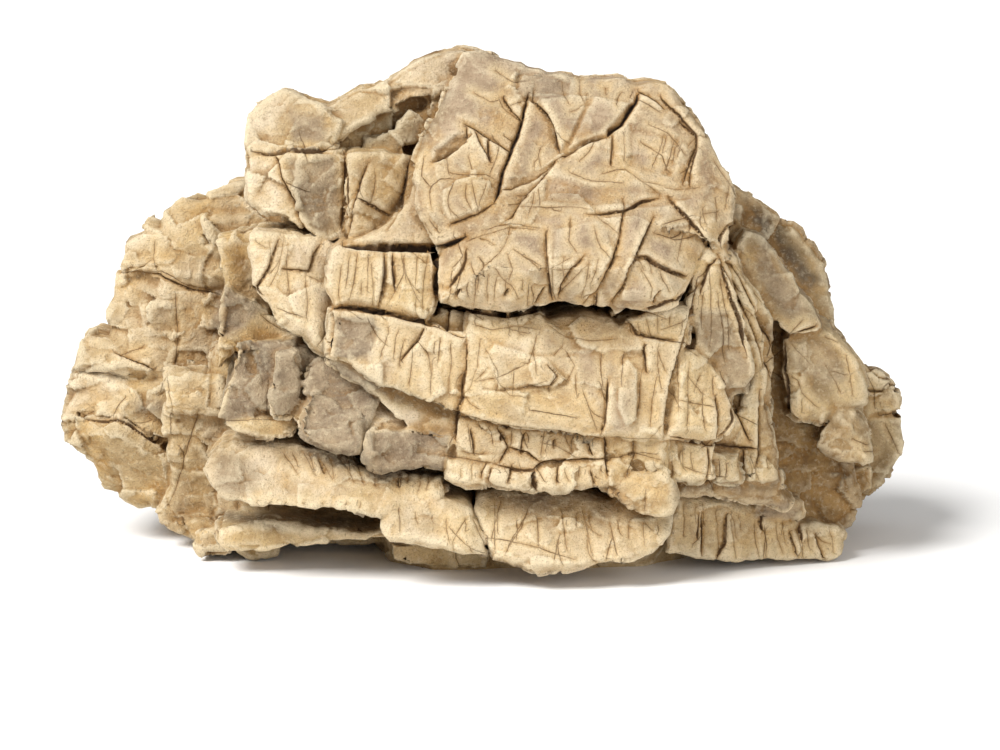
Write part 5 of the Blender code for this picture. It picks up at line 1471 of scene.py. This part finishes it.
def draw_pits(tree, value, place):
    """Small pits, longer than wide, where the skin is blotched."""
    leaned = add(tree, "ShaderNodeMapping", {"Vector": place, "Rotation": (0, 0.6, 0), "Scale": (1, 1, 0.4)})
    dots = add(tree, "ShaderNodeTexVoronoi", {"Vector": leaned, "Scale": 1 / (PIT_SPACING * MM)})
    dots = add(tree, "ShaderNodeMapRange", {"Value": dots, 1: 0.1, 2: 0.2, 3: 1, 4: 0})
    here = add(tree, "ShaderNodeMapRange", {"Value": value["blotch"], 1: 0.53, 2: 0.6, 3: 0, 4: 1})
    return add(tree, "ShaderNodeMath", {0: dots, 1: here}, operation="MULTIPLY")


def weathered_limestone():
    """Bedded limestone, long weathered: matt, cream to beige skin, grey where freshly broken, rust and clay
    in its joints, and hair cracks filled with brown dirt. Shade is painted into its colour in sheltered
    places and hollows, and a highlight along its cracks."""
    material = bpy.data.materials.new("weathered_limestone")
    material.use_nodes = True
    tree = material.node_tree
    shader = tree.nodes["Principled BSDF"]
    place = add(tree, "ShaderNodeTexCoord", output="Object")
    value = {name: add(tree, "ShaderNodeAttribute", output="Fac", attribute_name=name) for name in MARKS}
    for name, (size, detail, roughness) in NOISES.items():
        shape = {"Scale": 1 / (size * MM), "Detail": detail, "Roughness": roughness}
        value[name] = add(tree, "ShaderNodeTexNoise", {"Vector": place, **shape})
    value["line"], value["gap"] = draw_cracks(tree, value)
    value["hairs"] = draw_hairs(tree, value, place)
    value["pits"] = draw_pits(tree, value, place)

    low, high = BLOTCH_RANGE
    shade = add(tree, "ShaderNodeMapRange", {"Value": value["blotch"], 1: low, 2: high})
    dark, light = BODY
    body = add(tree, "ShaderNodeMix", {0: shade, 6: linear(dark), 7: linear(light)}, 2, data_type="RGBA")
    for dark, light, follows, low, high, strength in LAYERS:
        colour = linear(light)
        if dark != light:
            colour = add(tree, "ShaderNodeMix", {0: shade, 6: linear(dark), 7: colour}, 2, data_type="RGBA")
        rise = {1: low, 2: high, 3: 0, 4: strength}
        share = add(tree, "ShaderNodeMapRange", {"Value": value[follows], **rise})
        body = add(tree, "ShaderNodeMix", {0: share, 6: body, 7: colour}, 2, data_type="RGBA")
    tree.links.new(body, shader.inputs["Base Color"])
    shader.inputs["Metallic"].default_value = 0.0
    shader.inputs["Specular IOR Level"].default_value = GLOSS
    low, high = MATT
    matt = add(tree, "ShaderNodeMapRange", {"Value": value["blotch"], 1: 0.3, 2: 0.7, 3: low, 4: high})
    tree.links.new(matt, shader.inputs["Roughness"])
    height = 0.0
    for name, amount in RELIEF.items():
        terms = {0: value[name], 1: amount, 2: height}
        height = add(tree, "ShaderNodeMath", terms, operation="MULTIPLY_ADD")
    bump = add(tree, "ShaderNodeBump", {"Height": height, "Distance": 1.0 * MM, "Strength": BUMP_STRENGTH})
    tree.links.new(bump, shader.inputs["Normal"])
    return material


def plain_floor():
    """A pale painted studio floor, matt."""
    material = bpy.data.materials.new("pale_painted_floor")
    material.use_nodes = True
    shader = material.node_tree.nodes["Principled BSDF"]
    shader.inputs["Base Color"].default_value = linear("#F4F3F1")
    shader.inputs["Roughness"].default_value = 0.8
    return material


def add_floor():
    """A floor wide enough to fill the picture."""
    bm = bmesh.new()
    bmesh.ops.create_grid(bm, x_segments=1, y_segments=1, size=FLOOR_SIZE)
    mesh = bpy.data.meshes.new("floor")
    bm.to_mesh(mesh)
    bm.free()
    mesh.materials.append(plain_floor())
    floor = bpy.data.objects.new("floor", mesh)
    bpy.context.scene.collection.objects.link(floor)


def add_lamp(kind, name, place, energy, width):
    """A lamp at its place that shines at the rock; the width of a sun is its angle."""
    data = bpy.data.lights.new(name, kind)
    data.energy = energy
    if kind == "SUN":
        data.angle = width
    else:
        data.size = width
    lamp = bpy.data.objects.new(name, data)
    lamp.location = place
    lamp.rotation_euler = (Vector(LIT_PLACE) - Vector(place)).to_track_quat("-Z", "Y").to_euler()
    bpy.context.scene.collection.objects.link(lamp)


def add_light():
    """Soft studio light, the strongest from the upper left, in a white room."""
    world = bpy.data.worlds.new("studio")
    world.use_nodes = True
    back = world.node_tree.nodes["Background"]
    back.inputs["Color"].default_value = linear("#FFFFFF")
    back.inputs["Strength"].default_value = ROOM_LIGHT
    bpy.context.scene.world = world
    bpy.context.scene.view_settings.view_transform = "Standard"
    for lamp in LAMPS:
        add_lamp(*lamp)


def add_camera():
    """The camera at the eye from which the photo was taken."""
    data = bpy.data.cameras.new("camera")
    data.lens = PICTURE_LENS
    data.sensor_width = PICTURE_SENSOR
    camera = bpy.data.objects.new("camera", data)
    middle = Vector((ROCK_MIDDLE[0], ROCK_MIDDLE[1], 0))
    camera.location = (Vector((EYE_RIGHT, -EYE_BACK, EYE_UP)) - middle) * MM
    aim = (Vector(LOOKED_AT) - middle) * MM
    camera.rotation_euler = (aim - camera.location).to_track_quat("-Z", "Y").to_euler()
    bpy.context.scene.collection.objects.link(camera)
    bpy.context.scene.camera = camera


def add_rock():
    """The rock's one piece, from its rough blocks to its weathered skin."""
    rock = build_blocks()
    fuse(rock)
    weather_form(rock)
    weather_skin(rock)
    thin_out(rock)
    set_on_base(rock)
    rock.data.materials.clear()
    rock.data.materials.append(weathered_limestone())
    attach(rock, "root")
    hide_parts("pagoda_rock")


add_rock()
add_floor()
add_light()
add_camera()
